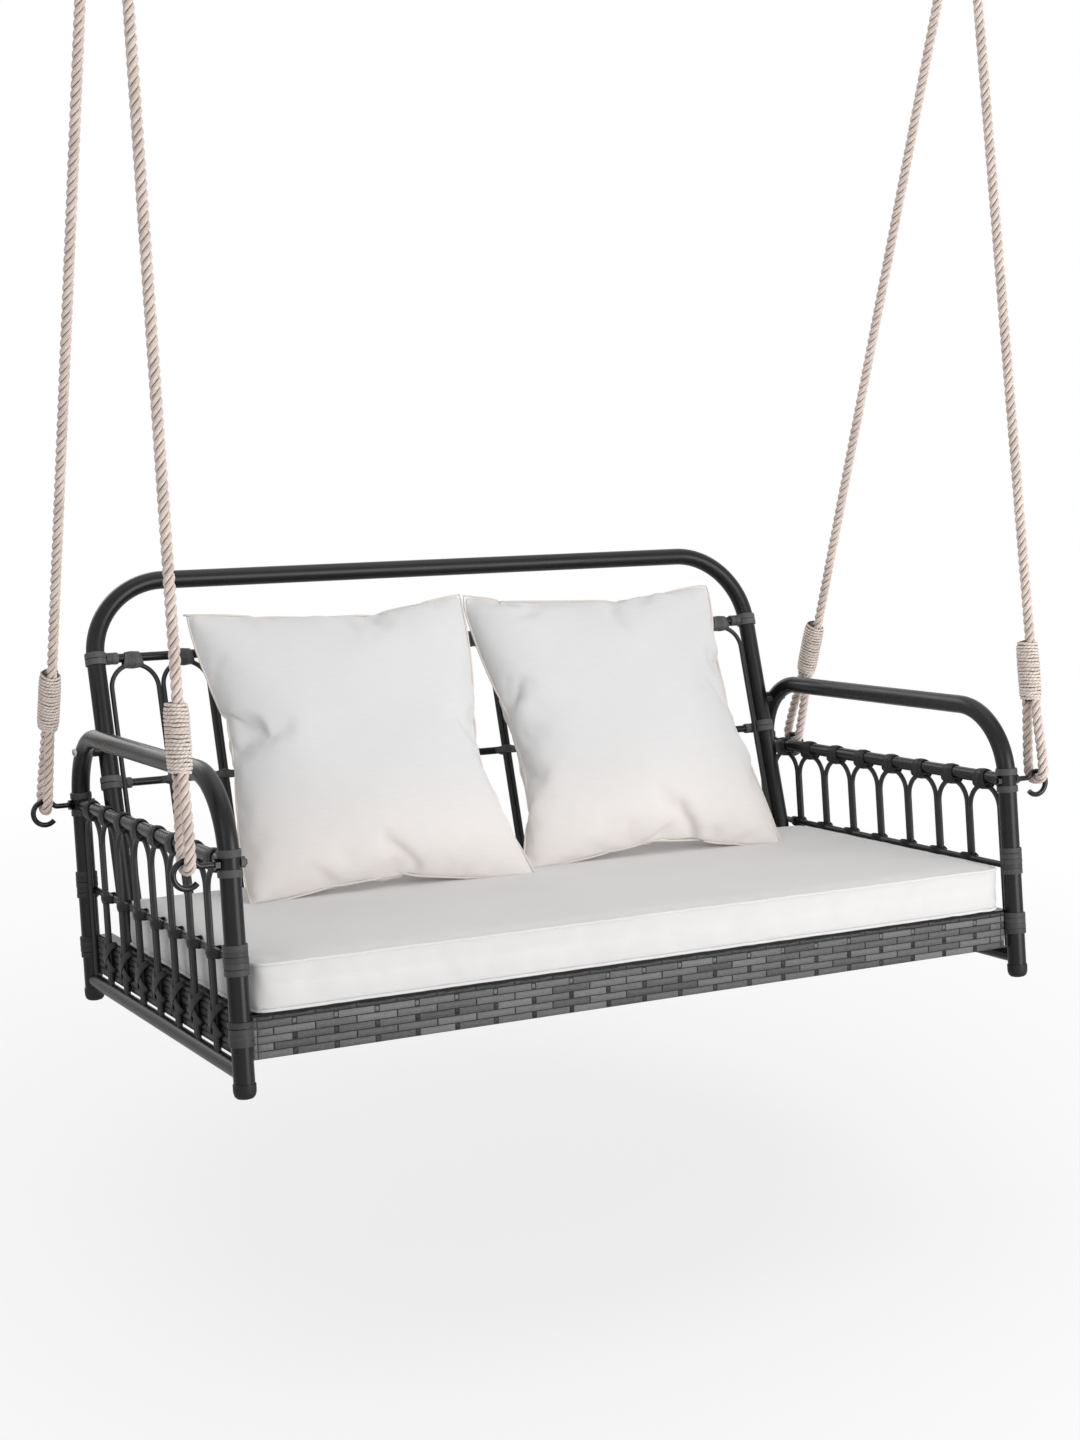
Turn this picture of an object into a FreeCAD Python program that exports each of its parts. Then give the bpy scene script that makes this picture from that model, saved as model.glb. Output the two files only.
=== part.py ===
"""Porch swing seat: a steel and rope hanging two-seater for a porch or a garden.

Two side frames, a back frame of hooped rods and a slatted seat frame are joined into one rigid
seat. Four spliced ropes carry it from two rings, and the rings hang in closed eyes on two
ceiling plates. A seat cushion and two pillows lie loose on it.

The seat is drawn upright in its own axes: X to the right, Y to the back, Z up, with the origin
on the ground line midway between the side frames. hang() then turns it backwards to the angle at
which it comes to rest, and lowers it under the ceiling. Sizes are millimetres and degrees.
"""

import FreeCAD, Part
import math
import os

V = FreeCAD.Vector

# Seat: overall sizes
side_frame_spacing = 1250.0
leg_spacing = 662.0
leg_lean = 4.5
leg_reference_height = 300.0
arm_height = 409.0
arm_front_radius = 112.0
arm_rear_radius = 95.0

# Tubes, rails and rods
main_tube = 28.0
main_wall = 1.5
tube_sides = 12
bore_sides = 6
rail_sides = 12
tube_bend_step = 10.0
bend_step = 22.5
foot_rail = 22.0
foot_rail_height = 32.0
hoop_rail = 20.0
hoop_rail_height = 301.0
rail_wall = 1.5
middle_rail = 10.0
middle_rail_height = 171.0
side_rod = 7.0
side_hoops = 8
side_hoop_end_gap = 3.5
rod_sides = 6
rod_gap = 0.3

# Back frame
arm_gap = 7.0
back_lean = 15.9
back_line_at_ground = 190.6
back_height = 636.0
back_corner_radius = 122.0
back_upper_rail = 14.0
back_upper_rail_drop = 116.0
back_lower_rail = 12.0
back_lower_rail_height = 335.0
back_rod = 7.5
back_hoops = 14
back_hoop_end_gap = 2.15

# Cord wound round the joints
wrap_thickness = 2.5
wrap_heights = (83.0, 178.0)
wrap_lengths = (32.0, 40.0)
back_wrap_length = 19.0
wrap_sides = 12
tie_width = 9.0
tie_thickness = 1.6
tie_slack = 0.5

# Seat frame
frame_top = 102.7
frame_depth = 30.0
frame_width = 20.0
frame_wall = 2.0
rear_rail_width = 30.0
apron_recess = 3.1
apron_thickness = 5.0
apron_drop = 1.6
apron_rows = 6
apron_row_height = 9.35
apron_crown = 1.6
cross_bar = 20.0
cross_bars = 3
cross_bar_pitch = 300.0
strap_thickness = 1.5
long_straps = 5
long_strap_width = 50.0
long_strap_pitch = 116.0
short_straps = 8
short_strap_width = 70.0
short_strap_pitch = 145.0

# Soft parts
cushion_side_gap = 16.5
cushion_back_gap = 22.0
cushion_thickness = 62.0
cushion_corner = 38.0
cushion_edge = 8.0
cushion_clearance = 0.3
pillow_width = 452.0
pillow_height = 486.0
pillow_thickness = 132.0
pillow_lean = 30.5
pillow_gap = 14.0
pillow_clearance = 0.5

# Hooks, nuts and bolts
hook_wire = 8.0
wire_sides = 8
hook_height = 301.0
hook_curl_radius = 18.0
hook_curl_drop = 9.0
hook_bend_radius = 8.0
hook_reach = 57.0
hook_tail = 9.0
hook_tip_angle = -152.0
nut_across = 13.0
blind_nut_across = 10.8
nut_height = 6.5
bolt = 8.0
bolt_head = 14.0
bolt_head_height = 5.0
bolt_clearance = 0.25
spacer = 18.0
foot_cap_wall = 2.0
foot_cap_height = 20.0
foot_cap_floor = 6.0
foot_cap_bevel = 5.0

# Ropes
rope = 16.0
rope_sides = 6
whipping = 38.0
whipping_length = 95.0
whipping_height = 128.0
eye_half_width = 17.0
bight_clearance = 0.3

# Rings and ceiling fittings
ring_wire = 8.0
ring_radius = 29.0
ring_half_spacing = 679.0
bight_offset = 9.0
ring_bight_clearance = 1.8
plate_length = 84.0
plate_width = 40.0
plate_thickness = 5.0
screw_hole = 6.6
screw_spacing = 56.0
eye_radius = 12.0
eye_leg = 18.0
ring_seat_clearance = 0.3

# How the seat hangs: its backward tilt, and the swing axis in the seat's own axes
hang_tilt = 10.0
swing_axis_height = 1800.0
swing_axis_forward = 201.9

# Sizes that follow from the ones above
half_width = side_frame_spacing / 2
tube_r = main_tube / 2
lean_tan = math.tan(math.radians(leg_lean))
lean_cos = math.cos(math.radians(leg_lean))
back_tan = math.tan(math.radians(back_lean))
side_hoop_row = leg_spacing - (main_tube + 2 * side_hoop_end_gap - rod_gap) / lean_cos
side_hoop_pitch = side_hoop_row / side_hoops
back_width = side_frame_spacing - 2 * (main_tube + arm_gap)
back_hoop_pitch = (back_width - main_tube - 2 * back_hoop_end_gap + rod_gap) / back_hoops
back_upper_rail_height = back_height - back_upper_rail_drop
rear_rail_front = back_line_at_ground + frame_top * back_tan - rear_rail_width / 2
apron_bottom = frame_top - apron_drop - apron_rows * apron_row_height
apron_face = leg_spacing / 2 + (leg_reference_height - wrap_heights[0]) * lean_tan - apron_recess
wrap_r = tube_r + wrap_thickness
swing_axis_below_ceiling = plate_thickness + eye_leg + eye_radius - ring_wire - ring_seat_clearance


def leg_y(side, z):
    """Y of a leg's axis at height z: side is -1 for the front leg and 1 for the rear one."""
    return side * leg_spacing / 2 + (z - leg_reference_height) * lean_tan


def back_y(z):
    """Y of the back frame's middle plane at height z."""
    return back_line_at_ground + z * back_tan


def unit(vector):
    """The vector at length one."""
    copy = V(vector)
    copy.normalize()
    return copy


def arcs(centre, first, middle, last):
    """An arc of a circle through three points, in two halves that meet at the middle one."""
    radius = (first - centre).Length
    edges = []
    for start, end in ((first, middle), (middle, last)):
        between = centre + unit(unit(start - centre) + unit(end - centre)) * radius
        edges.append(Part.Arc(start, between, end).toShape())
    return edges


def bent_path(points, radii):
    """Straight runs between the points, joined at each inner point by a tangent arc."""
    edges = []
    start = points[0]
    for i in range(1, len(points) - 1):
        before = unit(points[i] - points[i - 1])
        after = unit(points[i + 1] - points[i])
        turn = before.getAngle(after)
        reach = radii[i - 1] * math.tan(turn / 2)
        first = points[i] - before * reach
        last = points[i] + after * reach
        inward = unit(after - before)
        bow = radii[i - 1] / math.cos(turn / 2) - radii[i - 1]
        if (first - start).Length > 1e-4:
            edges.append(Part.LineSegment(start, first).toShape())
        edges.append(Part.Arc(first, points[i] + inward * bow, last).toShape())
        start = last
    if (points[-1] - start).Length > 1e-4:
        edges.append(Part.LineSegment(start, points[-1]).toShape())
    return Part.Wire(edges)


def stations(path, step):
    """Points along a path and its directions there, a step of degrees apart in its bends."""
    places = []
    for edge in path.OrderedEdges:
        low, high = edge.ParameterRange
        turn = math.degrees(edge.tangentAt(low).getAngle(edge.tangentAt(high)))
        count = max(1, math.ceil(turn / step - 1e-6))
        for i in range(count):
            at = low + (high - low) * i / count
            places.append((edge.valueAt(at), unit(edge.tangentAt(at))))
    if not path.isClosed():
        places.append((edge.valueAt(high), unit(edge.tangentAt(high))))
    return places


def sweep(path, radius, sides, step):
    """A solid bar of a many-sided section along a flat path, its bends in straight steps."""
    outlines = []
    for centre, along in stations(path, step):
        if not outlines:
            aside = along.cross(V(1, 0, 0) if abs(along.x) < 0.9 else V(0, 1, 0))
        aside = unit(aside - along * aside.dot(along))
        other = along.cross(aside)
        corners = []
        for i in range(sides):
            angle = 2 * math.pi * i / sides
            corners.append(centre + (aside * math.cos(angle) + other * math.sin(angle)) * radius)
        outlines.append(corners)
    return stacked(outlines, path.isClosed())


def hollow(path, across, wall):
    """A tube along the path, open at its ends."""
    bore = sweep(path, across / 2 - wall, bore_sides, tube_bend_step)
    return sweep(path, across / 2, tube_sides, tube_bend_step).cut(bore)


def pipe(start, end, across, wall):
    """A straight tube between two points."""
    bore = prism(start, end, across / 2 - wall, bore_sides)
    return prism(start, end, across / 2, rail_sides).cut(bore)


def prism(start, end, radius, sides):
    """A straight many-sided bar between two points, its corners at the radius."""
    path = Part.Wire([Part.LineSegment(start, end).toShape()])
    return sweep(path, radius, sides, bend_step)


def stacked(outlines, closed=False):
    """A solid with flat faces through outlines of as many corners each, in order."""
    faces = []
    if not closed:
        faces = [Part.Face(Part.makePolygon(ring + ring[:1])) for ring in (outlines[0], outlines[-1])]
    followers = outlines[1:] + outlines[:1] if closed else outlines[1:]
    for near, far in zip(outlines, followers):
        for i in range(len(near)):
            j = (i + 1) % len(near)
            faces.append(Part.Face(Part.makePolygon([near[i], near[j], far[j], far[i], near[i]])))
    solid = Part.Solid(Part.Shell(faces))
    if solid.Volume < 0:
        solid.reverse()
    return solid


def box(low, high):
    """A box between two corners."""
    return Part.makeBox(high.x - low.x, high.y - low.y, high.z - low.z, low)


def box_tube(low, high, along):
    """A square-cornered tube between two corners, open at both ends of the axis 0, 1 or 2."""
    inset = [0 if axis == along else frame_wall for axis in range(3)]
    inner = V(*inset)
    return box(low, high).cut(box(low + inner, high - inner))


def mirrored(shape):
    """The same shape on the other side of the seat's middle plane."""
    return shape.mirror(V(0, 0, 0), V(1, 0, 0))


def both(shape):
    """A piece and its mirror image as one group."""
    return Part.makeCompound([shape, mirrored(shape)])


# Side frames, drawn on the right


def side_path():
    """The centre line of an arm and its two legs, from the front foot to the rear one."""
    corners = []
    for side, z in ((-1, foot_cap_floor), (-1, arm_height), (1, arm_height), (1, foot_cap_floor)):
        corners.append(V(half_width, leg_y(side, z), z))
    return bent_path(corners, [arm_front_radius, arm_rear_radius])


def arm_bolt_centre():
    """Where the arm's rear bend passes the back frame's upright, seen from the side."""
    corner_y = leg_y(1, arm_height)
    turn = math.radians(90 + leg_lean)
    centre_y = corner_y - arm_rear_radius * math.tan(turn / 2)
    centre_z = arm_height - arm_rear_radius
    offset = back_line_at_ground - centre_y
    a = 1 + back_tan**2
    b = 2 * (back_tan * offset - centre_z)
    c = offset**2 + centre_z**2 - arm_rear_radius**2
    z = (-b + math.sqrt(b * b - 4 * a * c)) / (2 * a)
    return back_y(z), z


def cross_hole(start, y, z, across):
    """A hole along X from a start outwards, on the right, at y and z."""
    return Part.makeCylinder(across / 2, half_width, V(start, y, z), V(1, 0, 0))


def side_tube():
    """Arm and legs in one bent tube, drilled for the two hooks and the bolt to the back."""
    tube = hollow(side_path(), main_tube, main_wall)
    for side in (-1, 1):
        hole = hook_wire + 2 * bolt_clearance
        tube = tube.cut(cross_hole(half_width - main_tube, leg_y(side, hook_height), hook_height, hole))
    y, z = arm_bolt_centre()
    return tube.cut(cross_hole(half_width - main_tube, y, z, bolt + 2 * bolt_clearance))


def between_legs(height, across, wall):
    """A rail between the legs, its ends shaped to the round legs."""
    ends = [V(half_width, leg_y(side, height), height) for side in (-1, 1)]
    return pipe(ends[0], ends[1], across, wall).cut(sweep(side_path(), tube_r, tube_sides, tube_bend_step))


def side_foot_rail():
    """The low rail that the rods stand on."""
    return between_legs(foot_rail_height, foot_rail, rail_wall)


def side_hoop_rail():
    """The rail that the hoops' tops are tied to."""
    return between_legs(hoop_rail_height, hoop_rail, rail_wall)


def side_middle_rail():
    """The thin rail on the inside of the rods, from wrap to wrap."""
    x = half_width - side_rod / 2 - middle_rail / 2
    z = middle_rail_height
    front = V(x, leg_y(-1, z) + wrap_r, z)
    rear = V(x, leg_y(1, z) - wrap_r, z)
    return prism(front, rear, middle_rail / 2, bore_sides)


def side_hoop_radius():
    """Half the distance between the legs of one side hoop, centre to centre."""
    return (side_hoop_pitch * lean_cos - side_rod - rod_gap) / 2


def side_hoop_spring():
    """The height at which the side hoops' round tops begin."""
    return hoop_rail_height - hoop_rail / 2 - side_rod / 2 - side_hoop_radius()


def hoop(centre, across, up, radius, drop_first, drop_last, thickness):
    """An inverted U of rod: two straight legs and a half-round top."""
    first = centre - across * radius
    last = centre + across * radius
    edges = [Part.LineSegment(first - up * drop_first, first).toShape()]
    edges += arcs(centre, first, centre + up * radius, last)
    edges.append(Part.LineSegment(last, last - up * drop_last).toShape())
    return sweep(Part.Wire(edges), thickness / 2, rod_sides, bend_step)


def side_hoop_group():
    """The row of hooped rods that fills a side frame, standing on the foot rail."""
    lean = math.radians(leg_lean)
    up = V(0, math.sin(lean), math.cos(lean))
    across = V(0, math.cos(lean), -math.sin(lean))
    radius = side_hoop_radius()
    spring = side_hoop_spring()
    stand = foot_rail_height + foot_rail / 2 + side_rod / 2 * math.sin(lean)
    hoops = []
    for i in range(side_hoops):
        place = (i - (side_hoops - 1) / 2) * side_hoop_pitch
        centre = V(half_width, place + (spring - leg_reference_height) * lean_tan, spring)
        drops = [(spring + rise - stand) / up.z for rise in (radius * across.z * -1, radius * across.z)]
        hoops.append(hoop(centre, across, up, radius, drops[0], drops[1], side_rod))
    return Part.makeCompound(hoops)


def band(centre, axis_x, axis_y, half_x, low_y, high_y, width):
    """A closed band of lashing round a bundle, as a rectangular loop."""
    corners = ((-half_x, low_y), (half_x, low_y), (half_x, high_y), (-half_x, high_y))
    loops = []
    along = axis_x.cross(axis_y)
    for grow in (tie_thickness, 0):
        points = []
        for x, y in corners:
            x += math.copysign(grow, x)
            y += grow if y == high_y else -grow
            points.append(centre + axis_x * x + axis_y * y - along * (width / 2))
        points.append(points[0])
        loops.append(Part.Face(Part.makePolygon(points)))
    return loops[0].cut(loops[1]).extrude(along * width)


def side_rail_ties():
    """A lashing round the hoop rail and each hoop's top."""
    ties = []
    spring = side_hoop_spring()
    for i in range(side_hoops):
        place = (i - (side_hoops - 1) / 2) * side_hoop_pitch
        y = place + (spring - leg_reference_height) * lean_tan
        low = -hoop_rail / 2 - side_rod - tie_slack
        centre = V(half_width, y, hoop_rail_height)
        high = hoop_rail / 2 + tie_slack
        ties.append(band(centre, V(1, 0, 0), V(0, 0, 1), hoop_rail / 2 + tie_slack, low, high, tie_width))
    return Part.makeCompound(ties)


def wrap(middle, axis, length):
    """Cord wound round a main tube, as a many-sided sleeve."""
    start = middle - axis * (length / 2)
    end = start + axis * length
    bore = tube_r / math.cos(math.pi / wrap_sides)
    return prism(start, end, wrap_r, wrap_sides).cut(prism(start, end, bore, wrap_sides))


def side_leg_wraps():
    """The wound joints of both legs with the middle rail and with the seat frame."""
    lean = math.radians(leg_lean)
    up = V(0, math.sin(lean), math.cos(lean))
    wraps = []
    for side in (-1, 1):
        for height, length in zip(wrap_heights, wrap_lengths):
            wraps.append(wrap(V(half_width, leg_y(side, height), height), up, length))
    return Part.makeCompound(wraps)


def ring_of(radius, height):
    """The corners of a level many-sided ring round the Z axis."""
    corners = []
    for i in range(wrap_sides):
        angle = 2 * math.pi * i / wrap_sides
        corners.append(V(radius * math.cos(angle), radius * math.sin(angle), height))
    return corners


def foot_cap(side):
    """A cap over the end of a leg, with a bevelled floor."""
    bore = tube_r / math.cos(math.pi / wrap_sides)
    radius = bore + foot_cap_wall
    levels = (
        (radius - foot_cap_bevel, 0),
        (radius, foot_cap_bevel),
        (radius, foot_cap_height),
        (bore, foot_cap_height),
        (bore, foot_cap_floor),
    )
    cap = stacked([ring_of(r, z) for r, z in levels])
    cap.rotate(V(0, 0, 0), V(1, 0, 0), -leg_lean)
    cap.translate(V(half_width, leg_y(side, 0), 0))
    return cap


def foot_caps():
    """The four caps under the legs."""
    caps = [foot_cap(-1), foot_cap(1)]
    return Part.makeCompound(caps + [mirrored(cap) for cap in caps])


# Back frame


def back_path():
    """The centre line of the back frame, up one upright, across and down the other."""
    half = back_width / 2
    corners = []
    for x, z in ((-half, frame_top - tube_r), (-half, back_height), (half, back_height)):
        corners.append(V(x, back_y(z), z))
    corners.append(V(half, corners[0].y, corners[0].z))
    return bent_path(corners, [back_corner_radius, back_corner_radius])


def below_frame_top():
    """Everything at the back that lies lower than the seat frame's top."""
    return box(V(-half_width, 0, 0), V(half_width, 2 * rear_rail_front, frame_top))


def back_tube():
    """The back frame's bent tube, standing on the rear rail and drilled for the arm bolts."""
    tube = hollow(back_path(), main_tube, main_wall).cut(below_frame_top())
    y, z = arm_bolt_centre()
    hole = cross_hole(back_width / 2, y, z, bolt + 2 * bolt_clearance)
    return tube.cut(hole).cut(mirrored(hole))


def back_normal():
    """The direction square to the back frame, pointing rearwards."""
    lean = math.radians(back_lean)
    return V(0, math.cos(lean), -math.sin(lean))


def back_up():
    """The direction up along the back frame."""
    lean = math.radians(back_lean)
    return V(0, math.sin(lean), math.cos(lean))


def back_cross_rail(height, across, behind):
    """A rail between the uprights, shaped to them, set behind the frame's plane by a distance."""
    half = back_width / 2
    shift = back_normal() * behind
    start = V(-half, back_y(height), height) + shift
    end = V(half, back_y(height), height) + shift
    return prism(start, end, across / 2, rail_sides).cut(sweep(back_path(), tube_r, tube_sides, tube_bend_step))


def upper_rail_of_back():
    """The cross rail that the back hoops' tops are tied to."""
    return back_cross_rail(back_upper_rail_height, back_upper_rail, 0)


def lower_rail_of_back():
    """The cross rail behind the back rods."""
    return back_cross_rail(back_lower_rail_height, back_lower_rail, (back_rod + back_lower_rail) / 2)


def back_hoop_radius():
    """Half the distance between the legs of one back hoop, centre to centre."""
    return (back_hoop_pitch - back_rod - rod_gap) / 2


def back_hoop_spring():
    """The centre of the middle hoop's round top."""
    drop = back_upper_rail / 2 + back_rod / 2 + back_hoop_radius()
    top = V(0, back_y(back_upper_rail_height), back_upper_rail_height)
    return top - back_up() * drop


def back_hoop_group():
    """The row of hooped rods that fills the back, standing on the rear rail."""
    spring = back_hoop_spring()
    drop = (spring.z - frame_top) / back_up().z + back_rod
    hoops = []
    for i in range(back_hoops):
        centre = spring + V((i - (back_hoops - 1) / 2) * back_hoop_pitch, 0, 0)
        shape = hoop(centre, V(1, 0, 0), back_up(), back_hoop_radius(), drop, drop, back_rod)
        hoops.append(shape.cut(below_frame_top()))
    return Part.makeCompound(hoops)


def back_rail_ties():
    """A lashing round the upper rail and each back hoop's top."""
    low = -back_upper_rail / 2 - back_rod - tie_slack
    high = back_upper_rail / 2 + tie_slack
    ties = []
    for i in range(back_hoops):
        x = (i - (back_hoops - 1) / 2) * back_hoop_pitch
        centre = V(x, back_y(back_upper_rail_height), back_upper_rail_height)
        ties.append(band(centre, back_normal(), back_up(), high, low, high, tie_width))
    return Part.makeCompound(ties)


def back_upright_wraps():
    """The wound joints of the uprights, just below each cross rail."""
    wraps = []
    for height, across in (
        (back_upper_rail_height, back_upper_rail),
        (back_lower_rail_height, back_lower_rail),
    ):
        middle = V(back_width / 2, back_y(height), height)
        middle -= back_up() * ((across + back_wrap_length) / 2)
        wraps.append(wrap(middle, back_up(), back_wrap_length))
    return Part.makeCompound(wraps + [mirrored(piece) for piece in wraps])


# Seat frame


def seat_front_rail():
    """The front rail, shaped at its ends to the wound front legs."""
    low = V(-half_width, apron_thickness - apron_face, frame_top - frame_depth)
    rail = box_tube(low, V(half_width, low.y + frame_width, frame_top), 0)
    leg = sweep(side_path(), tube_r, tube_sides, tube_bend_step)
    lean = math.radians(leg_lean)
    up = V(0, math.sin(lean), math.cos(lean))
    middle = V(half_width, leg_y(-1, wrap_heights[0]), wrap_heights[0])
    start = middle - up * (wrap_lengths[0] / 2)
    winding = prism(start, start + up * wrap_lengths[0], wrap_r, wrap_sides)
    outer = box(V(half_width - bolt, -apron_face, 0), V(half_width + 1, 0, 2 * frame_top))
    for piece in (leg, winding, outer):
        rail = rail.cut(piece).cut(mirrored(piece))
    return rail


def side_rail_outer():
    """X of the side rails' outer face, inside the side weave."""
    return half_width - side_rod / 2 - apron_thickness


def seat_side_rails():
    """The two side rails, from the front rail to the wound rear legs."""
    outer = side_rail_outer()
    middle = frame_top - frame_depth / 2
    clear = math.sqrt(wrap_r**2 - (half_width - outer) ** 2)
    low = V(outer - frame_width, apron_thickness + frame_width - apron_face, frame_top - frame_depth)
    high = V(outer, leg_y(1, middle - frame_depth / 2) - clear, frame_top)
    return both(box_tube(low, high, 1))


def seat_rear_rail():
    """The rear rail, which the back frame and its rods stand on."""
    half = side_rail_outer() - frame_width
    low = V(-half, rear_rail_front, frame_top - frame_depth)
    return box_tube(low, V(half, rear_rail_front + rear_rail_width, frame_top), 0)


def seat_cross_bars():
    """Bars from the front rail to the rear rail, under the straps."""
    bars = []
    front = apron_thickness + frame_width - apron_face
    for i in range(cross_bars):
        x = (i - (cross_bars - 1) / 2) * cross_bar_pitch
        low = V(x - cross_bar / 2, front, frame_top - cross_bar)
        bars.append(box_tube(low, V(x + cross_bar / 2, rear_rail_front, frame_top), 1))
    return Part.makeCompound(bars)


def seat_straps():
    """Crossed straps that carry the cushion: short ones from front to rear under long ones."""
    straps = []
    front = apron_thickness - apron_face
    rear = back_y(frame_top) - back_rod
    for i in range(short_straps):
        x = (i - (short_straps - 1) / 2) * short_strap_pitch
        low = V(x - short_strap_width / 2, front, frame_top)
        straps.append(box(low, V(x + short_strap_width / 2, rear, frame_top + strap_thickness)))
    half = side_rail_outer() - frame_width / 2
    middle = (front + rear_rail_front) / 2
    for i in range(long_straps):
        y = middle + (i - (long_straps - 1) / 2) * long_strap_pitch
        low = V(-half, y - long_strap_width / 2, frame_top + strap_thickness)
        high = V(half, y + long_strap_width / 2, frame_top + 2 * strap_thickness)
        straps.append(box(low, high))
    return Part.makeCompound(straps)


def woven_panel(length):
    """A weave panel of crowned rows, standing on the XY plane along X, its back face at Y 0."""
    flat = apron_thickness - apron_crown
    edges = [Part.LineSegment(V(0, -flat, 0), V(0, 0, 0)).toShape()]
    top = apron_rows * apron_row_height
    edges.append(Part.LineSegment(V(0, 0, 0), V(0, 0, top)).toShape())
    edges.append(Part.LineSegment(V(0, 0, top), V(0, -flat, top)).toShape())
    for i in range(apron_rows, 0, -1):
        high = V(0, -flat, i * apron_row_height)
        low = V(0, -flat, (i - 1) * apron_row_height)
        crown = V(0, -apron_thickness, (i - 0.5) * apron_row_height)
        edges.append(Part.Arc(high, crown, low).toShape())
    return Part.Face(Part.Wire(edges)).extrude(V(length, 0, 0))


def front_apron():
    """The weave over the front rail, between the wound legs."""
    half = half_width - wrap_r - bolt_clearance
    panel = woven_panel(2 * half)
    panel.translate(V(-half, apron_thickness - apron_face, apron_bottom))
    return panel


def side_apron():
    """The weave between the side rail and the rods, on the right."""
    front = apron_thickness + frame_width - apron_face
    rear = leg_y(1, apron_bottom) - wrap_r
    panel = woven_panel(rear - front)
    panel.rotate(V(0, 0, 0), V(0, 0, 1), 90)
    panel.translate(V(side_rail_outer(), front, apron_bottom))
    return panel


# Hooks, nuts and bolts


def hook_centre_x():
    """X of the centre of a hook's curl, on the right."""
    return half_width + hook_reach


def hook_centre_z():
    """Height of the centre of a hook's curl."""
    return hook_height - hook_curl_drop


def hook(side):
    """A wire hook: a shank through the leg, bent up into a curl that opens below."""
    y = leg_y(side, hook_height)
    x = hook_centre_x()
    z = hook_centre_z()
    rise = hook_curl_drop + hook_bend_radius
    back = math.sqrt((hook_curl_radius + hook_bend_radius) ** 2 - rise**2)
    join = math.atan2(rise, -back)
    bend_end = V(x + hook_curl_radius * math.cos(join), y, z + hook_curl_radius * math.sin(join))
    bend_centre = V(x - back, y, hook_height + hook_bend_radius)
    bend_start = V(x - back, y, hook_height)
    toward = unit(unit(bend_end - bend_centre) + unit(bend_start - bend_centre))
    bend_middle = bend_centre + toward * hook_bend_radius
    tail = V(half_width - tube_r - hook_tail, y, hook_height)
    edges = [
        Part.LineSegment(tail, bend_start).toShape(),
        Part.Arc(bend_start, bend_middle, bend_end).toShape(),
    ]
    turn = (math.radians(hook_tip_angle) - join) / 4
    on_curl = []
    for i in range(5):
        angle = join + i * turn
        on_curl.append(V(x + hook_curl_radius * math.cos(angle), y, z + hook_curl_radius * math.sin(angle)))
    for i in (0, 2):
        edges += arcs(V(x, y, z), on_curl[i], on_curl[i + 1], on_curl[i + 2])
    return sweep(Part.Wire(edges), hook_wire / 2, wire_sides, bend_step)


def rope_hooks():
    """The four hooks, two on each side frame."""
    hooks = [hook(-1), hook(1)]
    return Part.makeCompound(hooks + [mirrored(piece) for piece in hooks])


def hex_nut(centre, bore, across):
    """A hexagon nut standing on its centre along X."""
    radius = across / 2 / math.cos(math.pi / 6)
    end = centre + V(nut_height, 0, 0)
    return prism(centre, end, radius, 6).cut(prism(centre, end, bore / 2, wire_sides))


def hook_nuts():
    """A nut on each side of the leg on each of the four hooks."""
    nuts = []
    bore = hook_wire + bolt_clearance
    for side in (-1, 1):
        y = leg_y(side, hook_height)
        for x in (half_width - tube_r - nut_height, half_width + tube_r):
            nuts.append(hex_nut(V(x, y, hook_height), bore, nut_across))
    return Part.makeCompound(nuts + [mirrored(nut) for nut in nuts])


def arm_nut_start():
    """X of a blind nut's inner end, the nut lying against the flat of the upright's bore."""
    flat = (tube_r - main_wall) * math.cos(math.pi / bore_sides)
    return back_width / 2 + flat - nut_height - bolt_clearance


def arm_bolts():
    """The bolts that tie the arms to the back frame, heads outside."""
    y, z = arm_bolt_centre()
    head = V(half_width + tube_r, y, z)
    end = V(arm_nut_start(), y, z)
    top = head + V(bolt_head_height, 0, 0)
    dome = prism(head, top, bolt_head / 2, wrap_sides)
    return both(prism(end, head, bolt / 2, wire_sides).fuse(dome))


def arm_nuts():
    """The blind nuts of the arm bolts, inside the uprights' outer wall."""
    y, z = arm_bolt_centre()
    return both(hex_nut(V(arm_nut_start(), y, z), bolt + bolt_clearance, blind_nut_across))


def arm_spacers():
    """Bushes between arm and upright."""
    y, z = arm_bolt_centre()
    start = V(back_width / 2 + tube_r, y, z)
    end = V(half_width - tube_r, y, z)
    bore = prism(start, end, bolt / 2 + bolt_clearance, wire_sides)
    return both(prism(start, end, spacer / 2, wrap_sides).cut(bore))


# Soft parts


def cushion_bottom():
    """Height of the seat cushion's underside."""
    return frame_top + 2 * strap_thickness + cushion_clearance


def cushion_rear():
    """Y of the seat cushion's rear face, in front of the back's rods."""
    return back_y(cushion_bottom()) - back_rod / 2 - cushion_back_gap


def rounded_outline(half_x, front, rear, corner, height):
    """A level rectangle with rounded corners, as a list of corners."""
    points = []
    steps = 3
    for x, y, start in ((half_x, rear, 0), (-half_x, rear, 90), (-half_x, front, 180), (half_x, front, 270)):
        centre_x = x - math.copysign(corner, x)
        centre_y = y + corner if y == front else y - corner
        for i in range(steps + 1):
            angle = math.radians(start + 90 * i / steps)
            points.append(V(centre_x + corner * math.cos(angle), centre_y + corner * math.sin(angle), height))
    return points


def seat_cushion():
    """The box-edged seat cushion, rounded at its corners and a little at its edges."""
    half = half_width - side_rod / 2 - cushion_side_gap
    bottom = cushion_bottom()
    rear = cushion_rear()
    top = bottom + cushion_thickness
    outlines = []
    levels = ((cushion_edge, bottom), (0, bottom + cushion_edge), (0, top - cushion_edge), (cushion_edge, top))
    for inset, height in levels:
        corner = cushion_corner - inset
        outline = rounded_outline(half - inset, inset - apron_face, rear - inset, corner, height)
        outlines.append(outline)
    return stacked(outlines)


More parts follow.
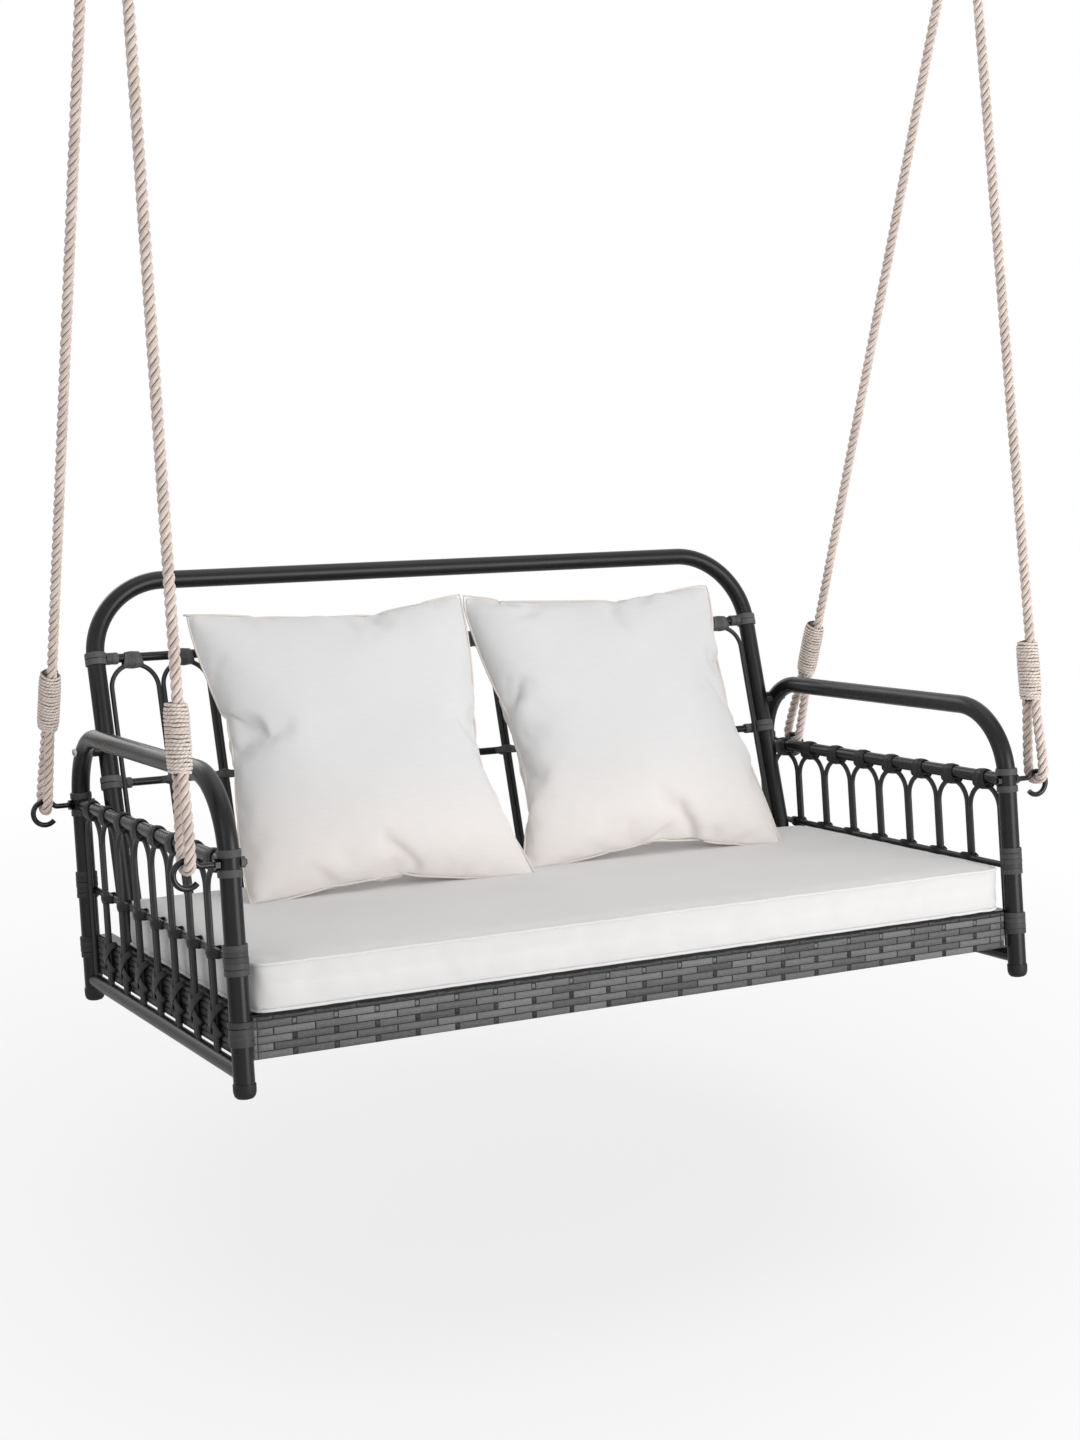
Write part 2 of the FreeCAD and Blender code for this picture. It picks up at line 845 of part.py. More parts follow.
def pillow(x):
    """A pillow that stands on the cushion and leans on the back's tube, square at its seam."""
    sizes = ((0.5, 0.36), (0.44, 0.6), (0.28, 0.85), (0.0, 1.0), (-0.28, 0.85), (-0.44, 0.6), (-0.5, 0.36))
    outlines = []
    for depth, share in sizes:
        across = pillow_width / 2 * share
        tall = pillow_height / 2 * share
        y = depth * pillow_thickness
        outlines.append([V(-across, y, -tall), V(across, y, -tall), V(across, y, tall), V(-across, y, tall)])
    shape = stacked(outlines)
    shape.rotate(V(0, 0, 0), V(1, 0, 0), -pillow_lean)
    rest = cushion_bottom() + cushion_thickness + pillow_clearance
    shape.translate(V(x, 0, rest - shape.BoundBox.ZMin))
    normal = back_normal()
    front = V(0, back_y(rest), rest).dot(normal) - tube_r - pillow_clearance
    reach = max(vertex.Point.dot(normal) for vertex in shape.Vertexes)
    return shape.translated(V(0, (front - reach) / normal.y, 0))


# Ropes, in the seat's axes


def swing_axis():
    """A point on the swing axis in the seat's own axes, in the middle plane."""
    return V(0, -swing_axis_forward, swing_axis_height)


def to_seat(point):
    """A point given level from the swing axis, in the seat's own axes."""
    tilt = math.radians(hang_tilt)
    y = point.y * math.cos(tilt) - point.z * math.sin(tilt)
    z = point.y * math.sin(tilt) + point.z * math.cos(tilt)
    return swing_axis() + V(point.x, y, z)


def rope_ends(side):
    """The middles of a right rope's two bights: under the hook's top and over the ring's bottom."""
    near = ring_radius - ring_wire / 2 - rope / 2 - ring_bight_clearance
    offset = side * bight_offset
    level = V(ring_half_spacing + offset, 0, -ring_radius - math.sqrt(near**2 - offset**2))
    top = to_seat(level)
    wire_top = V(hook_centre_x(), leg_y(side, hook_height), hook_centre_z() + hook_curl_radius)
    along = unit(top - wire_top)
    bottom = wire_top - along * (hook_wire / 2 + rope / 2 + bight_clearance)
    return bottom, top


def rope_route(side):
    """The points of a right rope: tail, lower eye, standing part, upper eye and its tail."""
    bottom, top = rope_ends(side)
    along = unit(top - bottom)
    aside = unit(along.cross(V(1, 0, 0)))
    strand = rope / 2 + bight_clearance
    half_eye = [
        (strand, whipping_height + 68),
        (strand, whipping_height + 4),
        (strand + 4.5, 79),
        (eye_half_width, 34),
        (eye_half_width, 0),
    ]
    far_side = [(-v, w) for v, w in reversed(half_eye)][:-1]
    lower = half_eye + far_side
    length = (top - bottom).Length
    upper = [(-v, length - w) for v, w in reversed(lower)]
    points = []
    for v, w in lower + upper:
        points.append(bottom + aside * v + along * w)
    return points


def rope_radii(points):
    """The largest arc that each inner point's shorter run allows."""
    radii = []
    for i in range(1, len(points) - 1):
        before = points[i] - points[i - 1]
        after = points[i + 1] - points[i]
        turn = before.getAngle(after)
        radii.append(0.45 * min(before.Length, after.Length) / math.tan(turn / 2))
    return radii


def rope_solid(side):
    """A right rope as one plain many-sided bar along its route."""
    points = rope_route(side)
    return sweep(bent_path(points, rope_radii(points)), rope / 2, rope_sides, bend_step)


def whippings(side):
    """The two tight windings that close a right rope's eyes."""
    bottom, top = rope_ends(side)
    along = unit(top - bottom)
    pieces = []
    for start, way in ((bottom, along), (top, along * -1)):
        base = start + way * whipping_height
        pieces.append(prism(base, base + way * whipping_length, whipping / 2, wrap_sides))
    return Part.makeCompound(pieces)


# Rings and ceiling fittings, drawn level under the ceiling on the right


def ring():
    """A closed steel ring that hangs in the ceiling eye."""
    centre = V(ring_half_spacing, 0, -swing_axis_below_ceiling - ring_radius)
    points = []
    for i in range(8):
        angle = math.pi * i / 4
        points.append(centre + V(math.cos(angle), 0, math.sin(angle)) * ring_radius)
    points.append(points[0])
    edges = []
    for i in (0, 2, 4, 6):
        edges += arcs(centre, points[i], points[i + 1], points[i + 2])
    return sweep(Part.Wire(edges), ring_wire / 2, wire_sides, bend_step)


def ceiling_eye():
    """A closed wire eye under the ceiling plate."""
    top = -plate_thickness
    bend = top - eye_leg
    x = ring_half_spacing
    front = V(x, -eye_radius, bend)
    rear = V(x, eye_radius, bend)
    edges = [Part.LineSegment(V(x, -eye_radius, top), front).toShape()]
    edges += arcs(V(x, 0, bend), front, V(x, 0, bend - eye_radius), rear)
    edges.append(Part.LineSegment(rear, V(x, eye_radius, top)).toShape())
    return sweep(Part.Wire(edges), ring_wire / 2, wire_sides, bend_step)


def ceiling_plate():
    """A screw plate with rounded ends and two holes."""
    x = ring_half_spacing
    low = V(x - plate_width / 2, -plate_length / 2, -plate_thickness)
    plate = box(low, V(x + plate_width / 2, plate_length / 2, 0))
    upright = [edge for edge in plate.Edges if abs(edge.tangentAt(0).z) > 0.9]
    plate = plate.makeChamfer(plate_width / 5, upright)
    for side in (-1, 1):
        hole = V(x, side * screw_spacing / 2, -plate_thickness * 2)
        plate = plate.cut(Part.makeCylinder(screw_hole / 2, plate_thickness * 3, hole, V(0, 0, 1)))
    return plate


def hang(shape):
    """Turn a seat shape back by the hang tilt and bring its swing axis under the ceiling."""
    move = FreeCAD.Placement(swing_axis() * -1, FreeCAD.Rotation())
    turn = FreeCAD.Placement(V(0, 0, 0), FreeCAD.Rotation(V(1, 0, 0), -hang_tilt))
    lower = FreeCAD.Placement(V(0, 0, -swing_axis_below_ceiling), FreeCAD.Rotation())
    return shape.transformed((lower * turn * move).toMatrix(), True)


def save(name, shape):
    """Write one node."""
    shape.exportStep(os.path.join("parts", name + ".step"))


def save_pair(name, shape):
    """Write a hanging node for the right side and its mirror image for the left."""
    save("right_" + name, hang(shape))
    save("left_" + name, hang(mirrored(shape)))


def main():
    """Build and write every node."""
    os.makedirs("parts", exist_ok=True)
    save_pair("side_tube", side_tube())
    save_pair("foot_rail", side_foot_rail())
    save_pair("hoop_rail", side_hoop_rail())
    save_pair("middle_rail", side_middle_rail())
    save_pair("side_hoops", side_hoop_group())
    save_pair("rail_ties", side_rail_ties())
    save_pair("leg_wraps", side_leg_wraps())
    save_pair("side_apron", side_apron())
    for side, place in ((-1, "front"), (1, "rear")):
        save_pair(place + "_rope", rope_solid(side))
        save_pair(place + "_whippings", whippings(side))
    centred = {
        "foot_caps": foot_caps,
        "back_tube": back_tube,
        "back_upper_rail": upper_rail_of_back,
        "back_lower_rail": lower_rail_of_back,
        "back_hoops": back_hoop_group,
        "back_rail_ties": back_rail_ties,
        "back_upright_wraps": back_upright_wraps,
        "seat_front_rail": seat_front_rail,
        "seat_side_rails": seat_side_rails,
        "seat_rear_rail": seat_rear_rail,
        "seat_cross_bars": seat_cross_bars,
        "seat_straps": seat_straps,
        "front_apron": front_apron,
        "rope_hooks": rope_hooks,
        "hook_nuts": hook_nuts,
        "arm_bolts": arm_bolts,
        "arm_nuts": arm_nuts,
        "arm_spacers": arm_spacers,
        "seat_cushion": seat_cushion,
    }
    for name, make in centred.items():
        save(name, hang(make()))
    middle = (pillow_width + pillow_gap) / 2
    save("right_pillow", hang(pillow(middle)))
    save("left_pillow", hang(pillow(-middle)))
    save("hanging_rings", both(ring()))
    save("ceiling_eyes", both(ceiling_eye()))
    save("ceiling_plates", both(ceiling_plate()))


main()
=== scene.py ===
"""Dress of a hanging porch swing seat: steel tubes, cane lashings, weave, ropes and cushions.

The seat is described upright in its own axes, X to the right, Y to the back and Z up, with the
origin on the ground line midway between the side frames. SEAT carries those axes to the place
where the seat hangs under its ceiling plates. Sizes are metres and radians.
"""

import logging
import math
import random
from dataclasses import dataclass, field
from enum import Enum
from typing import Any, NamedTuple, Sequence

import bpy
import numpy as np
from bpy.types import ID, Material, Mesh, Node, NodeSocket, NodeTree, Object
from mathutils import Matrix, Vector


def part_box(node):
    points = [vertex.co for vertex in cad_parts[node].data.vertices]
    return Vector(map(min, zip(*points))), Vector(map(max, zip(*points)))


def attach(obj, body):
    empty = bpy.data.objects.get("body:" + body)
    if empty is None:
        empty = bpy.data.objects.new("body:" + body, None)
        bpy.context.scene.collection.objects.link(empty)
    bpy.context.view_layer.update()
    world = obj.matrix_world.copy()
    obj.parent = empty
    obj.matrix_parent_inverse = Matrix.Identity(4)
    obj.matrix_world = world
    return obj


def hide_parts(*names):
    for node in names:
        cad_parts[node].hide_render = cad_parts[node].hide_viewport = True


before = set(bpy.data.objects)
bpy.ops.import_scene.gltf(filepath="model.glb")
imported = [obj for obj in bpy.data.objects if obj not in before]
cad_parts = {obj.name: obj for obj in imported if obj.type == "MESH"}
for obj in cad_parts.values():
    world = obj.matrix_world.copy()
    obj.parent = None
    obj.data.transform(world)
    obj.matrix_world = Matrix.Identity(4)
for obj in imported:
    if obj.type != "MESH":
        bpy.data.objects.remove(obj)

LOG = logging.getLogger("porch_swing")
Face = tuple[int, ...]
Pair = tuple[float, float]
Triple = tuple[float, float, float]
Profile = tuple[Pair, ...]
Spots = dict[tuple[int, int, int], int]
RIGHT = Vector((1, 0, 0))
BACK = Vector((0, 1, 0))
UP = Vector((0, 0, 1))
STILL = Matrix.Identity(4)
SOFT_EDGES = 180.0
FULL_TURN = 2 * math.pi


class Sign(Enum):
    """Two opposite places, told apart by a sign."""

    @property
    def word(self) -> str:
        """The place as a word."""
        return self.name.lower()


class Side(Sign):
    """The left and the right of the seat, seen from its front."""

    LEFT = -1
    RIGHT = 1


class Place(Sign):
    """The front or the rear rope of a side."""

    FRONT = -1
    REAR = 1


@dataclass(frozen=True)
class Hanging:
    """How the seat hangs from its swing axis."""

    tilt: float = math.radians(10.0)
    axis_forward: float = 0.2019
    axis_height: float = 1.8
    below_ceiling: float = 0.0267

    def matrix(self) -> Matrix:
        """The matrix from the seat's axes to the hanging place.

        Returns:
            The product of the lowering, the tilt and the move to the swing axis.
        """
        lower = Matrix.Translation((0, 0, -self.below_ceiling))
        turn = Matrix.Rotation(-self.tilt, 4, "X")
        return lower @ turn @ Matrix.Translation((0, self.axis_forward, -self.axis_height))


HANGING = Hanging()
SEAT = HANGING.matrix()


@dataclass(frozen=True)
class SeatSizes:
    """Sizes that more than one sub-assembly of the seat needs."""

    half_width: float = 0.625
    leg_spacing: float = 0.662
    leg_lean: float = math.radians(4.5)
    leg_reference: float = 0.300
    tube: float = 0.014
    rod: float = 0.0035
    hoops: int = 8
    hoop_pitch: float = 0.0784
    hoop_rail_height: float = 0.301
    hoop_rail: float = 0.010
    middle_rail_height: float = 0.171
    frame_top: float = 0.1027
    wrap: float = 0.0165
    back_half: float = 0.590
    back_lean: float = math.radians(15.9)
    back_line: float = 0.1906
    apron_face: float = 0.345
    apron_thickness: float = 0.005
    apron_bottom: float = 0.045
    cushion_bottom: float = 0.106
    cushion_thickness: float = 0.062

    def first(self, count: int, pitch: float) -> float:
        """Where a centred row of copies starts."""
        return (1 - count) / 2 * pitch

    def leg_y(self, place: int, z: float) -> float:
        """Y of a leg's axis at a height, for the front leg (-1) or the rear one (1)."""
        return place * self.leg_spacing / 2 + (z - self.leg_reference) * math.tan(self.leg_lean)

    def back_y(self, z: float) -> float:
        """Y of the back frame's middle plane at a height."""
        return self.back_line + z * math.tan(self.back_lean)

    def leg_up(self) -> Vector:
        """The direction up along the legs."""
        return Vector((0, math.sin(self.leg_lean), math.cos(self.leg_lean)))

    def back_up(self) -> Vector:
        """The direction up along the back."""
        return Vector((0, math.sin(self.back_lean), math.cos(self.back_lean)))

    def back_normal(self) -> Vector:
        """The direction square to the back, towards the rear."""
        return Vector((0, math.cos(self.back_lean), -math.sin(self.back_lean)))


SIZES = SeatSizes()


@dataclass(frozen=True)
class Rigging:
    """Sizes at which the ropes meet the hooks and the rings."""

    hook_height: float = 0.301
    hook_wire: float = 0.004
    hook_reach: float = 0.057
    curl_radius: float = 0.018
    curl_drop: float = 0.009
    ring_half_spacing: float = 0.679
    ring_radius: float = 0.029
    ring_wire: float = 0.004


RIG = Rigging()


def stand(name: str, data: ID) -> Object:
    """Put data into the scene as an object.

    Args:
        name: The object's name.
        data: What it carries.

    Returns:
        The new object.
    """
    made = bpy.data.objects.new(name, data)
    bpy.context.scene.collection.objects.link(made)
    return made


def take_mesh(carrier: Object) -> Mesh:
    """Keep what an object's modifiers make of it, and drop the object.

    Args:
        carrier: The object with the modifiers.

    Returns:
        The finished mesh.
    """
    graph = bpy.context.evaluated_depsgraph_get()
    made = bpy.data.meshes.new_from_object(carrier.evaluated_get(graph))
    bpy.data.objects.remove(carrier)
    return made


def rows_of(mesh: Mesh) -> np.ndarray:
    """A mesh's vertices as rows of three numbers.

    Args:
        mesh: The mesh to read.

    Returns:
        One row for each vertex.
    """
    rows = np.zeros(len(mesh.vertices) * 3)
    mesh.vertices.foreach_get("co", rows)
    return rows.reshape(-1, 3)


def marked_mesh(name: str, points: Any, edges: Any, faces: Any, marks: dict[str, Any]) -> Mesh:
    """Make a mesh with numbers kept at its vertices, by name.

    Args:
        name: The mesh's name.
        points: The places of its vertices.
        edges: Its loose edges.
        faces: Its faces.
        marks: One number for each vertex, by name.

    Returns:
        The new mesh.
    """
    made = bpy.data.meshes.new(name)
    made.from_pydata(points, edges, faces)
    for key, values in marks.items():
        made.attributes.new(key, "FLOAT", "POINT").data.foreach_set("value", values)
    return made


def spans(rows: np.ndarray) -> np.ndarray:
    """The distances from row to row along a line."""
    return np.linalg.norm(np.diff(rows, axis=0), axis=1)


def ways_along(rows: np.ndarray) -> np.ndarray:
    """The direction of a line at each of its rows."""
    ways = np.gradient(rows, axis=0)
    return ways / np.linalg.norm(ways, axis=1)[:, None]


def unbent(points: Sequence[Vector]) -> tuple[Sequence[Vector], list[float]]:
    """A path for round bars that is bent nowhere but at its own points."""
    return points, [0.0] * len(points)


class Graph:
    """A short hand on a node tree."""

    def __init__(self, tree: NodeTree) -> None:
        """Keep the tree."""
        self.tree = tree

    def node(self, kind: str, inputs: dict[Any, Any] | None = None, **settings: Any) -> Node:
        """Add a node.

        Args:
            kind: The node's type.
            inputs: A value or a socket for each input, by name or index.
            settings: Its properties.

        Returns:
            The new node.
        """
        node = self.tree.nodes.new(kind)
        for key, value in settings.items():
            setattr(node, key, value)
        for key, value in (inputs or {}).items():
            if isinstance(value, NodeSocket):
                self.tree.links.new(value, node.inputs[key])
            else:
                node.inputs[key].default_value = value
        return node

    def link(self, value: NodeSocket, socket: NodeSocket) -> None:
        """Join a result to an input."""
        self.tree.links.new(value, socket)

    def math(self, operation: str, *values: Any) -> NodeSocket:
        """Add a Math node and give its result."""
        return self.node("ShaderNodeMath", dict(enumerate(values)), operation=operation).outputs[0]

    def vector(self, operation: str, *values: Any) -> NodeSocket:
        """Add a Vector Math node and give its vector."""
        inputs = dict(enumerate(values))
        return self.node("ShaderNodeVectorMath", inputs, operation=operation).outputs[0]

    def spread(self, value: Any, low: float, high: float, first: float, last: float) -> NodeSocket:
        """Map a value from one range to another and give the result."""
        inputs = {"Value": value, "From Min": low, "From Max": high, "To Min": first, "To Max": last}
        return self.node("ShaderNodeMapRange", inputs).outputs[0]

    def blend(self, share: Any, first: Any, last: Any) -> NodeSocket:
        """Mix two colours by a share and give the result."""
        return self.node("ShaderNodeMix", {0: share, 6: first, 7: last}, data_type="RGBA").outputs[2]

    def noise(self, place: Any, scale: float, detail: float) -> NodeSocket:
        """Add a noise texture and give its value."""
        inputs = {"Vector": place, "Scale": scale, "Detail": detail}
        return self.node("ShaderNodeTexNoise", inputs).outputs[0]

    def weigh(self, first: Any, share: float, second: Any, other: float) -> NodeSocket:
        """Add two values, each times a number of its own."""
        return self.math("ADD", self.math("MULTIPLY", first, share), self.math("MULTIPLY", second, other))

    def bands(self, place: Any, way: str, scale: float) -> NodeSocket:
        """Add a wave texture with bands along an axis and give its value.

        Args:
            place: The coordinates to read.
            way: The axis along which the bands follow one another.
            scale: The texture's scale.

        Returns:
            The wave's value.
        """
        inputs = {"Vector": place, "Scale": scale}
        wave = self.node("ShaderNodeTexWave", inputs, wave_type="BANDS", bands_direction=way)
        return wave.outputs[1]

    def join(self, x: Any, y: Any, z: Any) -> NodeSocket:
        """Make a vector of three numbers."""
        return self.node("ShaderNodeCombineXYZ", {0: x, 1: y, 2: z}).outputs[0]

    def length(self, value: Any) -> NodeSocket:
        """The length of a vector."""
        return self.node("ShaderNodeVectorMath", {0: value}, operation="LENGTH").outputs["Value"]

    def attribute(self, name: str) -> NodeSocket:
        """Read a number kept on the mesh in a material."""
        return self.node("ShaderNodeAttribute", attribute_name=name).outputs["Fac"]

    def kept(self, name: str) -> NodeSocket:
        """Read a number kept on the shape in a geometry tree."""
        return self.node("GeometryNodeInputNamedAttribute", {"Name": name}, data_type="FLOAT").outputs[0]

    def keep(self, shape: Any, name: str, value: Any) -> NodeSocket:
        """Keep a number at each point of a shape and give the shape."""
        inputs = {"Geometry": shape, "Name": name, "Value": value}
        return self.node("GeometryNodeStoreNamedAttribute", inputs, domain="POINT").outputs[0]

    def circle(self, sides: Any, radius: Any) -> NodeSocket:
        """A circle as the outline of a bar."""
        inputs = {"Resolution": sides, "Radius": radius}
        return self.node("GeometryNodeCurvePrimitiveCircle", inputs, mode="RADIUS").outputs[0]

    def sweep(self, path: Any, outline: Any) -> NodeSocket:
        """Carry an outline along a path, with its ends closed."""
        inputs = {"Curve": path, "Profile Curve": outline, "Fill Caps": True}
        return self.node("GeometryNodeCurveToMesh", inputs).outputs[0]


class Coating(NamedTuple):
    """A material and the record's slot that it fills."""

    slot: str
    material: Material


@dataclass(frozen=True)
class Finish:
    """A procedural finish of one slot."""

    slot: str
    colour: Triple
    roughness: float
    metallic: float = 0.0
    specular: float = 0.5
    sheen: float = 0.0

    def coating(self) -> Coating:
        """Build the material, with this finish's pattern on it.

        Returns:
            The material with its slot.
        """
        made = bpy.data.materials.new(type(self).__name__ + "_" + self.slot)
        made.use_nodes = True
        made.diffuse_color = (*self.colour, 1)
        shader = made.node_tree.nodes["Principled BSDF"]
        values = {"Base Color": (*self.colour, 1), "Roughness": self.roughness, "Metallic": self.metallic}
        values |= {"Specular IOR Level": self.specular, "Sheen Weight": self.sheen}
        for name, value in values.items():
            shader.inputs[name].default_value = value
        self.dress(Graph(made.node_tree), shader)
        return Coating(self.slot, made)

    def dress(self, graph: Graph, shader: Node) -> None:
        """Add the pattern; the plain finish has none."""

    def place(self, graph: Graph) -> NodeSocket:
        """The object's own coordinates."""
        return graph.node("ShaderNodeTexCoord").outputs["Object"]

    def tones(self, darker: float, lighter: float) -> tuple[tuple[float, ...], tuple[float, ...]]:
        """A darker and a lighter tone of the colour.

        Args:
            darker: What the darker tone is multiplied by.
            lighter: What the lighter tone is multiplied by.

        Returns:
            Both tones, with full alpha.
        """
        low = tuple(part * darker for part in self.colour) + (1,)
        high = tuple(min(1.0, part * lighter) for part in self.colour) + (1,)
        return low, high

    def tint(self, graph: Graph, shader: Node, share: Any, darker: float, lighter: float) -> None:
        """Shade the colour between a darker and a lighter tone by a share."""
        graph.link(graph.blend(share, *self.tones(darker, lighter)), shader.inputs["Base Color"])

    def gloss(self, graph: Graph, shader: Node, cloud: Any, down: float, up: float) -> None:
        """Let the roughness follow a cloud, from a little below its value to a little above."""
        rough = graph.spread(cloud, 0.3, 0.7, self.roughness - down, self.roughness + up)
        graph.link(rough, shader.inputs["Roughness"])

    def relief(
        self, graph: Graph, shader: Node, height: Any, depth: float, strength: float
    ) -> None:
        """Join a height to the shader as a bump of a depth in metres.

        Args:
            graph: The material's node graph.
            shader: The shader that takes the bump.
            height: The height to follow.
            depth: The bump's depth in metres.
            strength: The bump's share, 0 to 1.
        """
        inputs = {"Height": height, "Distance": depth, "Strength": strength}
        bump = graph.node("ShaderNodeBump", inputs)
        graph.link(bump.outputs[0], shader.inputs["Normal"])


class PowderCoat(Finish):
    """Satin powder coat with a fine orange peel."""

    def dress(self, graph: Graph, shader: Node) -> None:
        """Add the peel and a faint change of gloss.

        Args:
            graph: The material's node graph.
            shader: The shader that takes the pattern.
        """
        place = self.place(graph)
        cloud = graph.noise(place, 9.0, 3.0)
        self.tint(graph, shader, cloud, 0.8, 1.25)
        self.gloss(graph, shader, cloud, 0.05, 0.05)
        self.relief(graph, shader, graph.noise(place, 520.0, 2.0), 0.0003, 0.2)


class GlossEnamel(PowderCoat):
    """Glossy enamel on bent wire."""


class ZincPlate(Finish):
    """Zinc plating with a cloudy, slightly scuffed shine."""

    def dress(self, graph: Graph, shader: Node) -> None:
        """Add clouds to the colour and the gloss.

        Args:
            graph: The material's node graph.
            shader: The shader that takes the pattern.
        """
        place = self.place(graph)
        cloud = graph.noise(place, 60.0, 4.0)
        self.tint(graph, shader, cloud, 0.75, 1.15)
        self.gloss(graph, shader, cloud, 0.1, 0.12)
        self.relief(graph, shader, graph.noise(place, 900.0, 2.0), 0.0002, 0.1)


class CaneStrand(Finish):
    """Flat resin strand with fine ribs along it and a tone of its own."""

    darkest: float = 0.45
    lightest: float = 1.75
    own_tone: float = 0.62
    speckle: float = 1500.0

    def dress(self, graph: Graph, shader: Node) -> None:
        """Mix the strand's own tone with a speckle.

        Args:
            graph: The material's node graph.
            shader: The shader that takes the pattern.
        """
        place = self.place(graph)
        speckle = graph.noise(place, self.speckle, 2.0)
        streak = graph.noise(graph.vector("MULTIPLY", place, (1.0, 1.0, 3.0)), 210.0, 3.0)
        grain = graph.spread(graph.weigh(speckle, 0.5, streak, 0.5), 0.32, 0.68, 0.0, 1.0)
        mixed = graph.weigh(graph.attribute("tone"), self.own_tone, grain, 1.0 - self.own_tone)
        self.tint(graph, shader, mixed, self.darkest, self.lightest)
        self.gloss(graph, shader, graph.noise(place, 140.0, 3.0), 0.08, 0.1)
        self.relief(graph, shader, speckle, 0.0003, 0.35)


class WovenStrand(CaneStrand):
    """Strand of the weave, whose tone changes more from piece to piece."""

    darkest: float = 0.06
    lightest: float = 1.75
    own_tone: float = 0.68
    speckle: float = 620.0


class MouldedCap(Finish):
    """Moulded rubber with a fine grain."""

    def dress(self, graph: Graph, shader: Node) -> None:
        """Add the grain.

        Args:
            graph: The material's node graph.
            shader: The shader that takes the pattern.
        """
        grain = graph.noise(self.place(graph), 900.0, 2.0)
        self.tint(graph, shader, grain, 0.8, 1.2)
        self.relief(graph, shader, grain, 0.0002, 0.2)


class Webbing(Finish):
    """Woven strap with cross ribs."""

    def dress(self, graph: Graph, shader: Node) -> None:
        """Add ribs both ways.

        Args:
            graph: The material's node graph.
            shader: The shader that takes the pattern.
        """
        place = self.place(graph)
        weave = graph.math("MULTIPLY", graph.bands(place, "X", 160.0), graph.bands(place, "Y", 160.0))
        self.tint(graph, shader, weave, 0.6, 1.5)
        self.relief(graph, shader, weave, 0.0006, 0.5)


class RopeFibre(Finish):
    """Laid fibre, lighter on the crowns of its strands and darkened to brown in their grooves as painted
    shade.
    """

    # groove is the colour of the painted shade, laid in by the crown from deep to high
    groove: Triple = (0.2, 0.115, 0.09)
    deep: float = 0.12
    high: float = 0.52

    def shade(self, graph: Graph, shader: Node, yarn: Any) -> None:
        """Darken the yarn into the groove by its depth in the rope, as painted shade."""
        depth = graph.spread(graph.attribute("crown"), self.deep, self.high, 0.0, 1.0)
        graph.link(graph.blend(depth, (*self.groove, 1), yarn), shader.inputs["Base Color"])

    def dress(self, graph: Graph, shader: Node) -> None:
        """Draw fibres along the strands.

        Args:
            graph: The material's node graph.
            shader: The shader that takes the pattern.
        """
        along = graph.math("MULTIPLY", graph.attribute("along"), 90.0)
        around = graph.math("MULTIPLY", graph.attribute("around"), 9.0)
        fibre = graph.noise(graph.join(along, around, 0.0), 1.6, 4.0)
        patch = graph.noise(self.place(graph), 22.0, 2.0)
        worn = graph.spread(graph.weigh(fibre, 0.7, patch, 0.3), 0.35, 0.65, 0.0, 1.0)
        self.shade(graph, shader, graph.blend(worn, *self.tones(0.7, 1.16)))
        self.relief(graph, shader, fibre, 0.0006, 0.6)


class TwineFibre(RopeFibre):
    """Wound twine, whose own lay shows as short slanting lines."""

    # groove is the colour of the painted shade between the turns, laid in by the crown from deep to high
    groove: Triple = (0.1, 0.058, 0.045)
    deep: float = 0.6
    high: float = 0.9

    def dress(self, graph: Graph, shader: Node) -> None:
        """Draw the slanting lay on each turn.

        Args:
            graph: The material's node graph.
            shader: The shader that takes the pattern.
        """
        slant = graph.weigh(graph.attribute("along"), 1210.0, graph.attribute("around"), 15.7)
        drift = graph.math("MULTIPLY", graph.noise(self.place(graph), 160.0, 2.0), 7.0)
        lay = graph.math("SINE", graph.math("ADD", slant, drift))
        patch = graph.math("MULTIPLY", graph.noise(self.place(graph), 120.0, 3.0), 0.35)
        share = graph.math("ADD", graph.spread(lay, -1.0, 1.0, 0.0, 0.75), patch)
        self.shade(graph, shader, graph.blend(share, *self.tones(0.68, 1.28)))
        self.relief(graph, shader, lay, 0.0005, 0.5)


class Canvas(Finish):
    """Outdoor canvas with a fine plain weave that follows the cloth."""

    def dress(self, graph: Graph, shader: Node) -> None:
        """Add the weave and a faint cloud in its tone.

        Args:
            graph: The material's node graph.
            shader: The shader that takes the pattern.
        """
        cloth = self.cloth(graph)
        weave = graph.math("ADD", graph.bands(cloth, "X", 330.0), graph.bands(cloth, "Y", 330.0))
        slub = graph.noise(graph.vector("MULTIPLY", cloth, (40.0, 400.0, 1.0)), 1.0, 3.0)
        cloud = graph.noise(self.place(graph), 6.0, 3.0)
        tone = graph.spread(graph.weigh(cloud, 0.6, slub, 0.4), 0.3, 0.7, 0.0, 1.0)
        self.tint(graph, shader, tone, 0.955, 1.02)
        self.relief(graph, shader, weave, 0.0002, 0.35)

    def cloth(self, graph: Graph) -> NodeSocket:
        """The place on the flat cloth, in metres."""
        return graph.node("ShaderNodeUVMap", uv_map="cloth").outputs[0]


class PillowCanvas(Canvas):
    """Canvas with a painted warm reflection, lighter and warmer towards the pillow's lower seam."""

    def dress(self, graph: Graph, shader: Node) -> None:
        """Add the weave, then a painted warm reflection low on the cover.

        Args:
            graph: The material's node graph.
            shader: The shader that takes the pattern.
        """
        super().dress(graph, shader)
        woven = shader.inputs["Base Color"].links[0].from_socket
        height = graph.node("ShaderNodeSeparateXYZ", {0: self.cloth(graph)}).outputs["Y"]
        # Painted warm reflected light, fading in towards the lower seam
        low = graph.spread(height, -0.19, -0.05, 1.0, 0.0)
        painted_warm_bounce = graph.blend(low, (1.0, 1.0, 1.0, 1.0), (1.08, 1.03, 1.0, 1.0))
        graph.link(graph.vector("MULTIPLY", woven, painted_warm_bounce), shader.inputs["Base Color"])


